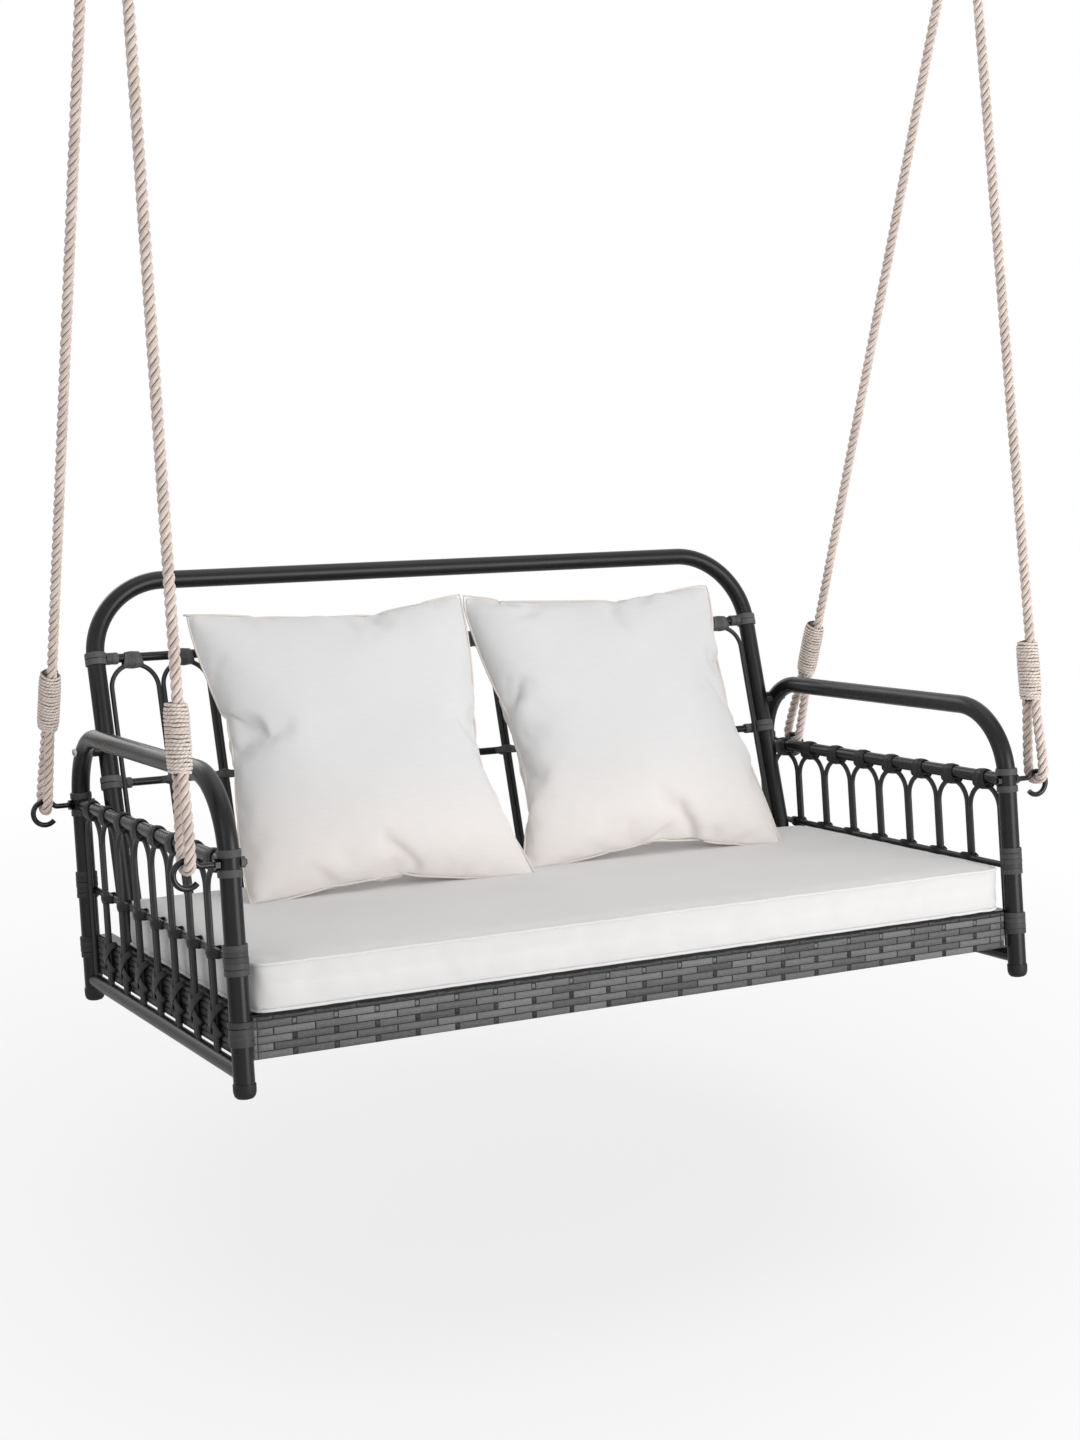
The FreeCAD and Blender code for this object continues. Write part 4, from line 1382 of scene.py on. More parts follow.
                # Painted highlight at hook height, minus painted shade on the rear leg
                tone = hook_painted_highlight - self.rear_painted_shade * (leg + 1) / 2
                for i in range(count):
                    shift = (i - (count - 1) / 2) * length / count
                    centre = Vector((self.x, SIZES.leg_y(leg, height), height)) + up * shift
                    lean = up * self.chance.uniform(-self.winding_lean, self.winding_lean)
                    slack = self.winding_slack + self.chance.uniform(0.0, self.winding_uneven)
                    sizes = {"half_across": SIZES.tube + slack, "half_deep": SIZES.tube + slack}
                    sizes |= {"width": length / count * self.winding_overlap, "thickness": self.strand}
                    sizes |= {"across": RIGHT + lean, "deep": deep + lean, "steps": 40}
                    CaneBand(centre=centre, **sizes).add_to(pile, tone + self.chance.uniform(*self.tones))
        return pile.mesh(f"{self.side.word}_windings", SEAT)


@dataclass
class BackFrame(Lashed):
    """The bent back tube with its cross rails, hooped rods, lashings and windings."""

    shop: Workshop
    height: float = 0.636
    corner: float = 0.122
    foot_seat: float = 0.004
    upper_rail: float = 0.007
    upper_height: float = 0.520
    lower_rail: float = 0.006
    lower_height: float = 0.335
    rod: float = 0.00375
    rod_gap: float = 0.0003
    rod_end: float = 0.003
    hoops: int = 14
    pitch: float = 0.082
    tones: Pair = (0.25, 0.8)
    tie_band: float = 0.0088
    tie_slack: float = 0.0006
    rail_slack: float = 0.0009
    winding: float = 0.0095
    winding_band: float = 0.0098
    winding_slack: float = 0.001
    winding_lean: float = 0.04
    winding_inset: float = 0.006
    lump: tuple[Triple, ...] = (
        (-0.0098, 0.24, -0.0003), (0.0098, -0.24, -0.0003),
        (-0.0052, 0.12, 0.0003), (0.0052, -0.1, 0.0003), (0.0, 0.04, 0.0008),
    )
    lower_tie: Crossing = Crossing(
        0.335, 0.006, 0.65, 1.7,
        ((0.0, 0.0106, 0.0180, 0.0150), (14.0, 0.0112, 0.0168, 0.0060), (-14.0, 0.0115, 0.0162, 0.0060)),
    )

    def __post_init__(self) -> None:
        """Seed the small differences between the bands."""
        self.chance = random.Random(77)

    def rails(self) -> tuple[tuple[str, float, float, float], ...]:
        """Name, height, radius and place behind the back's plane of each cross rail.

        Returns:
            One row for each cross rail.
        """
        behind = self.rod + self.lower_rail
        upper = ("back_upper_rail", self.upper_height, self.upper_rail, 0.0)
        return upper, ("back_lower_rail", self.lower_height, self.lower_rail, behind)

    def spot(self, x: float, height: float) -> Vector:
        """A point of the back's plane."""
        return Vector((x, SIZES.back_y(height), height))

    def build(self) -> None:
        """Build and place every piece of the back."""
        shop = self.shop
        frame_coat, cane = shop.finishes.frame, shop.finishes.pale_wrap
        shop.put("back_frame_tube", self._tube(), frame_coat, ["back_tube"])
        for name, height, radius, behind in self.rails():
            away = SIZES.back_normal() * behind
            ends = [self.spot(x, height) + away for x in (-SIZES.back_half, SIZES.back_half)]
            shop.put(name + "_bar", shop.bars(name, [unbent(ends)], radius, SEAT), frame_coat, [name])
        shop.put("back_hooped_rods", self._hoops(), shop.finishes.rod, ["back_hoops"])
        shop.put("back_hoop_lashings", self._top_lashings(), cane, ["back_rail_ties"])
        shop.put("back_rod_lashings", self._cross_lashings(), cane)
        shop.put("back_windings", self._windings(), cane, ["back_upright_wraps"])

    def _tube(self) -> Mesh:
        """The bent tube, standing on the rear rail.

        Returns:
            The piece's mesh, in the frame's axes.
        """
        foot, half = SIZES.frame_top - self.foot_seat, SIZES.back_half
        corners = ((-half, foot), (-half, self.height), (half, self.height), (half, foot))
        path = ([self.spot(x, z) for x, z in corners], (0.0, self.corner, self.corner, 0.0))
        return self.shop.bars("back_tube_bent", [path], SIZES.tube, SEAT, sides=40, steps=28)

    def _hoops(self) -> Mesh:
        """The row of hooped rods.

        Returns:
            The piece's mesh, in the frame's axes.
        """
        up = SIZES.back_up()
        radius = (self.pitch - 2 * self.rod - self.rod_gap) / 2
        crown = self.spot(0, self.upper_height) - up * (self.upper_rail + self.rod)
        crown.x = SIZES.first(self.hoops, self.pitch)
        drop = (crown.z - SIZES.frame_top + self.rod_end) / up.z
        size = (radius, drop, self.rod)
        return self.shop.hoops("back_hoops_bent", crown, (RIGHT, up), size, self.hoops, RIGHT * self.pitch)

    def _top_lashings(self) -> Mesh:
        """The lashing of each hoop's top to the upper rail.

        Returns:
            The piece's mesh, in the frame's axes.
        """
        pile = MeshPile()
        up = SIZES.back_up()
        middle = self.spot(0, self.upper_height) - up * self.rod
        middle.x = SIZES.first(self.hoops, self.pitch)
        rail = self.upper_rail
        size = (rail + self.rail_slack, rail + self.rod + self.tie_slack, self.tie_band)
        self.bundle(pile, middle, (RIGHT, SIZES.back_normal(), up), size)
        return self.shop.repeat(pile, "back_ties", self.hoops, (self.pitch, 0, 0))

    def _cross_lashings(self) -> Mesh:
        """Crossed lashings of the rods to the lower rail.

        Returns:
            The piece's mesh, in the frame's axes.
        """
        pile = MeshPile()
        normal = SIZES.back_normal()
        middle = self.spot(0, self.lower_tie.height) + normal * self.lower_tie.inset
        middle.x = SIZES.first(self.hoops - 1, self.pitch)
        self.cross(pile, middle, (RIGHT, normal, SIZES.back_up()), self.lower_tie, self.tones)
        return self.shop.repeat(pile, "back_crossed", self.hoops - 1, (self.pitch, 0, 0))

    def _windings(self) -> Mesh:
        """The bands wound round the uprights and the ends of the cross rails.

        Returns:
            The piece's mesh, in the frame's axes.
        """
        pile = MeshPile()
        up = SIZES.back_up()
        normal = SIZES.back_normal()
        for _, height, rail, behind in self.rails():
            for side in (-1, 1):
                corner = self.spot(side * SIZES.back_half, height)
                for i in range(2):
                    lean = up * self.chance.uniform(-self.winding_lean, self.winding_lean)
                    girth = SIZES.tube + self.winding_slack
                    sizes = {"half_across": girth, "half_deep": girth, "width": self.winding_band}
                    sizes |= {"across": RIGHT + lean, "deep": normal + lean, "steps": 40}
                    self.band(pile, centre=corner - up * ((i - 0.5) * self.winding), **sizes)
                for i in range(2):
                    inward = RIGHT * (side * (SIZES.tube + self.winding_inset + i * self.winding))
                    girth = rail + self.rail_slack
                    sizes = {"half_across": girth, "half_deep": girth, "width": self.winding_band}
                    centre = corner + normal * behind - inward
                    self.band(pile, centre=centre, across=normal, deep=up, **sizes)
        return pile.mesh("back_windings_bands", SEAT)


@dataclass
class WovenAprons:
    """The weave over the front rail and along the side rails."""

    shop: Workshop
    rows: int = 5
    row_height: float = 0.0100
    edge_height: float = 0.0060
    pitch: float = 0.058
    gap: float = 0.0075
    joint: float = 0.0021
    crown: float = 0.0016
    groove: float = 0.0013
    insert_depth: float = 0.0014
    insert_slack: Pair = (0.0012, 0.0009)
    edge_tones: Pair = (0.08, 0.1)
    fold: float = 0.0066
    fold_gap: float = 0.0008
    fold_depth: float = 0.0003
    fold_slack: float = 0.0006
    shortest: float = 0.004
    margin: float = 0.012
    end_gap: float = 0.00025
    side_start: float = 0.020
    # Share of the tones kept on the side panels, as painted shade
    side_painted_shade_level: float = 0.12
    shades: tuple[float, ...] = (0.3, 0.5, 0.68, 0.9)
    fold_shades: tuple[float, ...] = (0.3, 0.8, 1.0)

    def build(self) -> None:
        """Build and place the three panels."""
        front_half = SIZES.half_width - SIZES.wrap - self.end_gap
        face = -SIZES.apron_face + SIZES.apron_thickness
        place = Matrix.Translation((-front_half, face, SIZES.apron_bottom))
        stand_up = Matrix.Rotation(math.radians(90), 4, "X")
        self._panel("front_weave", 2 * front_half, SEAT @ place @ stand_up, "front_apron", 5, 1.0)
        start = face + self.side_start
        end = SIZES.leg_y(1, SIZES.apron_bottom) - SIZES.wrap
        outer = SIZES.half_width - SIZES.rod - SIZES.apron_thickness
        # The side panels keep only a small share of their tones, as painted shade
        for side in Side:
            turn = Matrix.Rotation(math.radians(90 * side.value), 4, "Z")
            y = start if side is Side.RIGHT else end
            matrix = SEAT @ Matrix.Translation((side.value * outer, y, SIZES.apron_bottom)) @ turn @ stand_up
            node = f"{side.word}_side_apron"
            seed = 8 + side.value
            self._panel(f"{side.word}_side_weave", end - start, matrix, node, seed, self.side_painted_shade_level)

    def _strands(self, length: float, flat: float, chance: random.Random, painted_light_level: float) -> np.ndarray:
        """Lay the strands of one panel.

        Args:
            length: The panel's length.
            flat: The thickness of its ground.
            chance: What its tones are drawn from.
            painted_light_level: What is kept of the strands' tones; below 1 it paints shade on the panel.

        Returns:
            A row for each strand: its place, its length, its height and its tone.
        """
        laid: list[tuple[float, ...]] = []
        for row in range(self.rows + 1):
            top_edge = row == self.rows
            tall = self.edge_height if top_edge else self.row_height
            y = row * self.row_height + tall / 2
            shifted = row % 2 == 1
            x = -self.pitch / 2 if shifted else -self.pitch
            while x < length:
                gap = self.joint if shifted or top_edge else self.gap
                low = max(x + gap / 2, self.fold + self.fold_gap)
                high = min(x + self.pitch - gap / 2, length - self.fold - self.fold_gap)
                if high - low > self.shortest:
                    tone = chance.choice(self.shades) + chance.uniform(-0.1, 0.1)
                    tone = self.edge_tones[0] if top_edge else tone * painted_light_level
                    laid.append(((low + high) / 2, y, flat, high - low, tall - self.groove, tone))
                if gap == self.gap and self.margin < x < length - self.margin:
                    tone = chance.uniform(-0.3, 0.0) if row < self.rows - 1 else 0.85 * painted_light_level
                    size = (self.gap - self.insert_slack[0], tall - self.insert_slack[1])
                    laid.append((x, y, flat - self.insert_depth, *size, tone))
                x += self.pitch
            for end in (self.fold / 2, length - self.fold / 2):
                tone = self.edge_tones[1] if top_edge else chance.choice(self.fold_shades) * painted_light_level
                size = (self.fold - self.fold_slack, tall - self.fold_slack)
                laid.append((end, y, flat - self.fold_depth, *size, tone))
        return np.array(laid)

    def _panel(
        self, name: str, length: float, matrix: Matrix, node: str, seed: int, painted_light_level: float
    ) -> None:
        """Weave one panel, drawn flat with X along it, Y up and Z outwards.

        Args:
            name: The piece's name.
            length: The panel's length.
            matrix: Where to take it.
            node: The CAD node that it stands for.
            seed: The seed of its tones.
            painted_light_level: What is kept of the strands' tones; below 1 it paints shade on the panel.
        """
        flat = SIZES.apron_thickness - self.crown
        weave = self.shop.finishes.weave
        laid = self._strands(length, flat, random.Random(seed), painted_light_level)
        marks = {"span": laid[:, 3], "tall": laid[:, 4], "tone": laid[:, 5]}
        base = marked_mesh(name + "_spots", laid[:, :3].tolist(), [], [], marks)
        inputs = {"Crown": self.crown, "Depth": 0.0012, "Material": weave.material}
        strands = self.shop.trees.grow(base, self.shop.trees.bricks, name, inputs)
        strands.transform(matrix)
        self.shop.put(name, strands, weave, [node])
        ground = MeshPile()
        height = self.rows * self.row_height + self.edge_height
        outline = ((0, 0), (length, 0), (length, height), (0, height))
        corners = [(x, y, z) for z in (0.0, flat - 0.0004) for x, y in outline]
        faces = [(3, 2, 1, 0), (4, 5, 6, 7), (0, 1, 5, 4), (1, 2, 6, 5), (2, 3, 7, 6), (3, 0, 4, 7)]
        ground.add(corners, faces, tone=0.0)
        self.shop.put(name + "_ground", ground.mesh(name + "_ground", matrix), self.shop.finishes.lash)


@dataclass
class Fittings:
    """Feet, hooks, bolts, the carried-over seat frame and the ceiling fittings."""

    shop: Workshop
    hook_bend: float = 0.008
    hook_tail: float = 0.009
    hook_tip: float = -138.0
    eye_radius: float = 0.012
    eye_wire: float = 0.004
    eye_top: float = -0.0045
    eye_bend: float = -0.023
    bush: float = 0.009
    head_seat: float = 0.0002
    cap: Profile = (
        (0.0, 0.0), (0.006, 0.0), (0.0105, 0.0012), (0.0135, 0.0042), (0.0149, 0.0085),
        (0.0152, 0.013), (0.0152, 0.0195), (0.0146, 0.0200), (0.0, 0.0200),
    )
    bolt: Profile = (
        (0.0, -0.034), (0.0038, -0.034), (0.0039, 0.0), (0.0072, 0.0), (0.0074, 0.0008),
        (0.0066, 0.0030), (0.0048, 0.0044), (0.0026, 0.0048), (0.0024, 0.0026), (0.0, 0.0026),
    )

    def build(self) -> None:
        """Build and place the fittings, and dress the nodes that stay."""
        shop = self.shop
        finishes = shop.finishes
        shop.put("feet", self._feet(), finishes.cap, ["foot_caps"])
        shop.put("wire_hooks", self._hooks(), finishes.hook, ["rope_hooks"])
        shop.put("arm_bolt_heads", self._bolts(), finishes.zinc, ["arm_bolts"])
        shop.put("arm_bushes", self._bushes(), finishes.frame, ["arm_spacers"])
        shop.put("closed_rings", self._rings(), finishes.zinc, ["hanging_rings"], "rings")
        shop.put("plate_eyes", self._eyes(), finishes.zinc, ["ceiling_eyes"], "ceiling_fittings")
        kept = (
            (finishes.frame, "seat_front_rail", "seat_side_rails", "seat_rear_rail", "seat_cross_bars"),
            (finishes.zinc, "arm_nuts", "ceiling_plates"),
            (finishes.hook, "hook_nuts"),
            (finishes.strap, "seat_straps"),
        )
        for coating, *nodes in kept:
            for node in nodes:
                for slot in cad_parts[node].material_slots:
                    slot.material = coating.material

    def _feet(self) -> Mesh:
        """Caps on the four legs, rounded under.

        Returns:
            The piece's mesh, in the frame's axes.
        """
        rows, faces = lathe(self.cap, 40)
        rows = rows @ np.array(Matrix.Rotation(-SIZES.leg_lean, 3, "X")).T
        pile = MeshPile()
        for x in (-SIZES.half_width, SIZES.half_width):
            for place in (-1, 1):
                pile.add(rows + np.array((x, SIZES.leg_y(place, 0.0), 0.0)), faces)
        return pile.mesh("feet_caps", SEAT)

    def _hooks(self) -> Mesh:
        """Wire hooks with a shank through the leg and a curl that opens below.

        Returns:
            The piece's mesh, in the frame's axes.
        """
        rise = RIG.curl_drop + self.hook_bend
        back = math.sqrt((RIG.curl_radius + self.hook_bend) ** 2 - rise**2)
        join = math.degrees(math.atan2(rise, -back))
        reach = SIZES.half_width + RIG.hook_reach
        paths = []
        for side in (-1, 1):
            out = RIGHT * side
            for place in (-1, 1):
                level = Vector((0, SIZES.leg_y(place, RIG.hook_height), RIG.hook_height))
                bend = level + out * (reach - back) + UP * self.hook_bend
                points = [level + out * (SIZES.half_width - SIZES.tube - self.hook_tail)]
                points += arc(bend, out, UP, self.hook_bend, -90.0, join - 180.0, 8)
                centre = level + out * reach - UP * RIG.curl_drop
                points += arc(centre, out, UP, RIG.curl_radius, join, self.hook_tip, 44)[1:]
                paths.append(unbent(points))
        return self.shop.bars("hooks_wire", paths, RIG.hook_wire, SEAT, sides=20)

    def _bolt_line(self) -> Vector:
        """A point on the line of the arm bolts."""
        low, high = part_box("arm_bolts")
        return (Vector(low) + Vector(high)) / 2

    def _bolts(self) -> Mesh:
        """Button heads with a hexagon socket, on their shanks.

        Returns:
            The piece's mesh, in the frame's axes.
        """
        middle = self._bolt_line()
        rows, faces = lathe(self.bolt, 30)
        pile = MeshPile()
        for side in (-1, 1):
            turn = np.array(Matrix.Rotation(math.radians(90 * side), 3, "Y"))
            seat = side * (SIZES.half_width + SIZES.tube - self.head_seat)
            pile.add(rows @ turn.T + np.array((seat, middle.y, middle.z)), faces)
        return pile.mesh("bolt_heads")

    def _bushes(self) -> Mesh:
        """Bushes between the arms and the uprights, with their ends inside both tubes.

        Returns:
            The piece's mesh, in the frame's axes.
        """
        middle = self._bolt_line()
        inside = SIZES.tube * 0.75
        places = (SIZES.back_half + inside, SIZES.half_width - inside)
        paths = [unbent([Vector((side * x, middle.y, middle.z)) for x in places]) for side in (-1, 1)]
        return self.shop.bars("bushes", paths, self.bush, STILL, sides=28)

    def _rings(self) -> Mesh:
        """The two closed rings.

        Returns:
            The piece's mesh, in the frame's axes.
        """
        paths = []
        for side in (-1, 1):
            centre = Vector((side * RIG.ring_half_spacing, 0, -HANGING.below_ceiling - RIG.ring_radius))
            paths.append(unbent(arc(centre, RIGHT, UP, RIG.ring_radius, 0.0, 352.5, 47)))
        return self.shop.bars("rings_wire", paths, RIG.ring_wire, STILL, closed=True)

    def _eyes(self) -> Mesh:
        """The two closed eyes under the plates.

        Returns:
            The piece's mesh, in the frame's axes.
        """
        paths = []
        for side in (-1, 1):
            bend = Vector((side * RIG.ring_half_spacing, 0, self.eye_bend))
            rise = UP * (self.eye_top - self.eye_bend)
            ends = [bend + BACK * y + rise for y in (-self.eye_radius, self.eye_radius)]
            points = [ends[0], *arc(bend, BACK, UP, self.eye_radius, -180.0, 0.0, 24), ends[1]]
            paths.append(unbent(points))
        return self.shop.bars("eyes_wire", paths, self.eye_wire, STILL)


@dataclass
class LaidRope:
    """A three-strand rope with a whipped eye at each end, from a hook to a ring.

    The eye is given by half of its width at distances from its bight, from the rope's tail on.
    The core under the twine is given by shares of its radius at distances from its end.
    """

    side: Side
    place: Place
    shop: Workshop
    diameter: float = 0.016
    lay: float = 0.039
    strand_share: float = 0.47
    strand_sides: int = 12
    steps_in_lay: int = 14
    strand_shift: float = 0.31
    groove: float = 0.35
    hook_gap: float = 0.0003
    ring_gap: float = 0.0018
    from_ring_middle: float = 0.009
    eye: Profile = ((0.0083, 0.196), (0.0083, 0.132), (0.0128, 0.079), (0.017, 0.034), (0.017, 0.0))
    front_whipping: float = 0.119
    rear_whipping: float = 0.132
    whipping_length: float = 0.095
    whipping: float = 0.0190
    twine: float = 0.0026
    turns: float = 18.2
    oval: float = 0.86
    taper: float = 0.18
    waver: float = 0.0010
    core_end: float = 0.001
    core: Profile = ((0.0, 0.0), (0.76, 0.0), (0.94, 0.009), (1.0, 0.02))

    @property
    def whipping_height(self) -> float:
        """How far from each bight its whipping starts."""
        return self.front_whipping if self.place is Place.FRONT else self.rear_whipping

    def ends(self) -> tuple[Vector, Vector]:
        """The middles of the two bights, on the right.

        Returns:
            The lower and the upper one.
        """
        half = self.diameter / 2
        near = RIG.ring_radius - RIG.ring_wire - half - self.ring_gap
        offset = self.place.value * self.from_ring_middle
        below = HANGING.below_ceiling + RIG.ring_radius + math.sqrt(near**2 - offset**2)
        top = Vector((RIG.ring_half_spacing + offset, 0, -below))
        leg = SIZES.leg_y(self.place.value, RIG.hook_height)
        curl = RIG.hook_height - RIG.curl_drop + RIG.curl_radius
        wire = SEAT @ Vector((SIZES.half_width + RIG.hook_reach, leg, curl))
        along = (top - wire).normalized()
        return wire - along * (RIG.hook_wire + half + self.hook_gap), top

    def axes(self) -> tuple[Vector, Vector, Vector, float]:
        """The lower bight, the ways along and aside, and the distance between the bights.

        Returns:
            All four, on this rope's own side.
        """
        bottom, top = self.ends()
        along = (top - bottom).normalized()
        aside = along.cross(RIGHT).normalized()
        flip = Vector((self.side.value, 1, 1))
        return bottom * flip, along * flip, aside * flip, (top - bottom).length

    def route(self) -> list[Vector]:
        """The rope's points: tail, lower eye, standing part, upper eye and its tail.

        Returns:
            The points in their order.
        """
        bottom, along, aside, length = self.axes()
        lower = [*self.eye, *((-v, w) for v, w in self.eye[:0:-1])]
        upper = [(-v, length - w) for v, w in reversed(lower)]
        return [bottom + aside * v + along * w for v, w in lower + upper]

    def centre_line(self) -> np.ndarray:
        """The smooth line through the route, as rows of three numbers.

        Returns:
            The line's points in their order.
        """
        curve = bpy.data.curves.new("rope_line", "CURVE")
        curve.dimensions = "3D"
        curve.resolution_u = 40
        spline = curve.splines.new("NURBS")
        points = self.route()
        spline.points.add(len(points) - 1)
        for spot, point in zip(spline.points, points):
            spot.co = (*point, 1)
        spline.order_u = 3
        spline.use_endpoint_u = True
        line = take_mesh(stand("rope_line", curve))
        rows = rows_of(line)
        bpy.data.meshes.remove(line)
        return rows

    def strands(self, rows: np.ndarray) -> Mesh:
        """Three strands twisted round the line.

        Args:
            rows: The line.

        Returns:
            The mesh, with its length, its way round and its crown kept at each vertex.
        """
        rows = rows[np.concatenate(([True], spans(rows) > 1e-7))]
        run = np.concatenate(([0.0], np.cumsum(spans(rows))))
        count = int(run[-1] / self.lay * self.steps_in_lay)
        places = np.linspace(0.0, run[-1], count)
        line = np.column_stack([np.interp(places, run, rows[:, k]) for k in range(3)])
        tangent = ways_along(line)
        normal = np.empty_like(line)
        step = np.cross(tangent[0], (1.0, 0.0, 0.0))
        for i in range(count):
            step = step - tangent[i] * step.dot(tangent[i])
            step /= np.linalg.norm(step)
            normal[i] = step
        other = np.cross(tangent, normal)
        half = self.diameter / 2
        strand = half * self.strand_share
        offset = half - strand
        angles = np.linspace(0, FULL_TURN, self.strand_sides, endpoint=False)
        # The crown tells the rope's finish where to paint shade into the grooves
        crown = (offset + strand * np.cos(angles)) / half
        crown = np.clip((crown - self.groove) / (1 - self.groove), 0.0, 1.0)
        faces = tube_faces(count, self.strand_sides, False)
        c, s = np.cos(angles)[None, :, None], np.sin(angles)[None, :, None]
        pile = MeshPile()
        for k in range(3):
            turn = places / self.lay * FULL_TURN + k * FULL_TURN / 3
            out = normal * np.cos(turn)[:, None] + other * np.sin(turn)[:, None]
            middle = line + out * offset
            aside = np.cross(ways_along(middle), out)
            rings = middle[:, None, :] + strand * (c * out[:, None, :] + s * aside[:, None, :])
            pile.add(
                rings.reshape(-1, 3),
                faces,
                along=np.repeat(places, self.strand_sides) + k * self.strand_shift,
                around=np.tile(angles / FULL_TURN, count),
                crown=np.tile(crown, count),
            )
        return pile.mesh("rope_strands")

    def whip(self, start: Vector, way: Vector, aside: Vector, name: str) -> Mesh:
        """Twine wound round both parts of the rope, over a filled core.

        Args:
            start: The end nearest to the eye.
            way: The way along the rope from there.
            aside: The way from one part of the rope to the other.
            name: The mesh's name.

        Returns:
            The mesh.
        """
        trees = self.shop.trees
        inputs = {"Turns": self.turns, "Twine": self.twine, "Oval": self.oval, "Taper": self.taper}
        inputs |= {"Radius": self.whipping - self.twine, "Length": self.whipping_length - 2 * self.twine}
        inputs |= {"Waver": self.waver, "Material": self.shop.finishes.twine.material}
        wound = trees.grow(bpy.data.meshes.new(name), trees.winding, name, inputs)
        wound.transform(Matrix.Translation((0, 0, self.twine)))
        marks = {}
        for key in ("along", "around", "crown"):
            marks[key] = np.zeros(len(wound.vertices))
            wound.attributes[key].data.foreach_get("value", marks[key])
        pile = MeshPile()
        pile.add(rows_of(wound), [tuple(face.vertices) for face in wound.polygons], **marks)
        inner = self.whipping - 2.4 * self.twine
        profile = [(inner * share, self.core_end + rise) for share, rise in self.core]
        profile += [(radius, self.whipping_length - z) for radius, z in reversed(profile)]
        rows, faces = lathe(profile, 36)
        pile.add(rows * np.array((1.0, self.oval, 1.0)), faces, **dict.fromkeys(marks, 0.0))
        basis = Matrix((aside, way.cross(aside).normalized(), way)).transposed().to_4x4()
        return pile.mesh(name, Matrix.Translation(start) @ basis)

    def build(self) -> None:
        body = f"{self.side.word}_ropes"
        label = f"{self.side.word}_{self.place.word}"
        shop = self.shop
        rope, twine = shop.finishes.rope, shop.finishes.twine
        rows = self.centre_line()
        strands = self.strands(rows)
        piece = shop.put(f"{label}_laid_rope", strands, rope, [f"{label}_rope"], body, SOFT_EDGES)
        bottom, along, aside, length = self.axes()
        start, end = bottom + along * self.whipping_height, bottom + along * (length - self.whipping_height)
        low = self.whip(start, along, aside, f"{label}_low_whip")
        high = self.whip(end, -along, -aside, f"{label}_high_whip")
        whips = [
            shop.put(f"{label}_lower_whipping", low, twine, [f"{label}_whippings"], body, SOFT_EDGES),
            shop.put(f"{label}_upper_whipping", high, twine, (), body, SOFT_EDGES),
        ]


@dataclass
class ClothShell:
    """A closed shell of cloth on a grid, filled by a short simulation."""

    rows: np.ndarray
    faces: list[Face]
    pressure: float
    frames: int
    stiffness: float = 15.0
    bending: float = 0.5
    shrink: float = 0.0
    pinned: Sequence[int] = ()
    quality: int = 6
    mass: float = 0.25
    damping: float = 3.0

    def settle(self) -> np.ndarray:
        """Run the simulation.

        Returns:
            The settled vertices.
        """
        carrier = stand("cloth", marked_mesh("cloth", self.rows.tolist(), [], self.faces, {}))
        modifier = carrier.modifiers.new("Cloth", "CLOTH")
        cloth = modifier.settings
        cloth.quality = self.quality
        cloth.mass = self.mass
        cloth.tension_stiffness = self.stiffness
        cloth.compression_stiffness = self.stiffness
        cloth.shear_stiffness = self.stiffness / 2
        cloth.bending_stiffness = self.bending
        cloth.use_pressure = True
        cloth.uniform_pressure_force = self.pressure
        cloth.shrink_min = self.shrink
        cloth.effector_weights.gravity = 0.0
        cloth.air_damping = self.damping
        modifier.collision_settings.use_collision = False
        if self.pinned:
            group = carrier.vertex_groups.new(name="pinned")
            group.add(list(self.pinned), 1.0, "REPLACE")
            cloth.vertex_group_mass = "pinned"
        modifier.point_cache.frame_start = 1
        modifier.point_cache.frame_end = self.frames
        scene = bpy.context.scene
        for moment in range(1, self.frames + 1):
            scene.frame_set(moment)
        settled = take_mesh(carrier)
        rows = rows_of(settled)
        bpy.data.meshes.remove(settled)
        scene.frame_set(1)
        return rows


def lay_flat(mesh: Mesh, flat: np.ndarray) -> None:
    """Give a mesh the flat place of each vertex as a UV map, in metres.

    Args:
        mesh: The mesh to mark.
        flat: Each vertex's place on the flat cloth, in metres.
    """
    layer = mesh.uv_layers.new(name="cloth")
    corners = np.zeros(len(mesh.loops), dtype=np.int32)
    mesh.loops.foreach_get("vertex_index", corners)
    layer.data.foreach_set("uv", flat[corners].ravel())


def cloth_mesh(name: str, rows: np.ndarray, faces: Sequence[Face], flat: np.ndarray) -> Mesh:
    """A mesh of settled cloth on the seat, with its flat pattern as a UV map.

    Args:
        name: The mesh's name.
        rows: The settled places of its vertices, in the seat's axes.
        faces: Its faces.
        flat: Each vertex's place on the flat cloth, in metres.

    Returns:
        The mesh, in the frame's axes.
    """
    made = marked_mesh(name, rows.tolist(), [], faces, {})
    lay_flat(made, flat)
    made.transform(SEAT)
    made.update()
    return made


def refine(piece: Object) -> None:
    """Refine a cover once.

    Args:
        piece: The cover.
    """
    modifier = piece.modifiers.new("Refine", "SUBSURF")
    modifier.levels = 1
    modifier.render_levels = 1


def rim_of(columns: int, lines: int) -> list[tuple[int, int]]:
    """The outer points of a grid, in their order round it."""
    rim = [(i, 0) for i in range(columns)] + [(columns, j) for j in range(lines)]
    return rim + [(i, lines) for i in range(columns, 0, -1)] + [(0, j) for j in range(lines, 0, -1)]


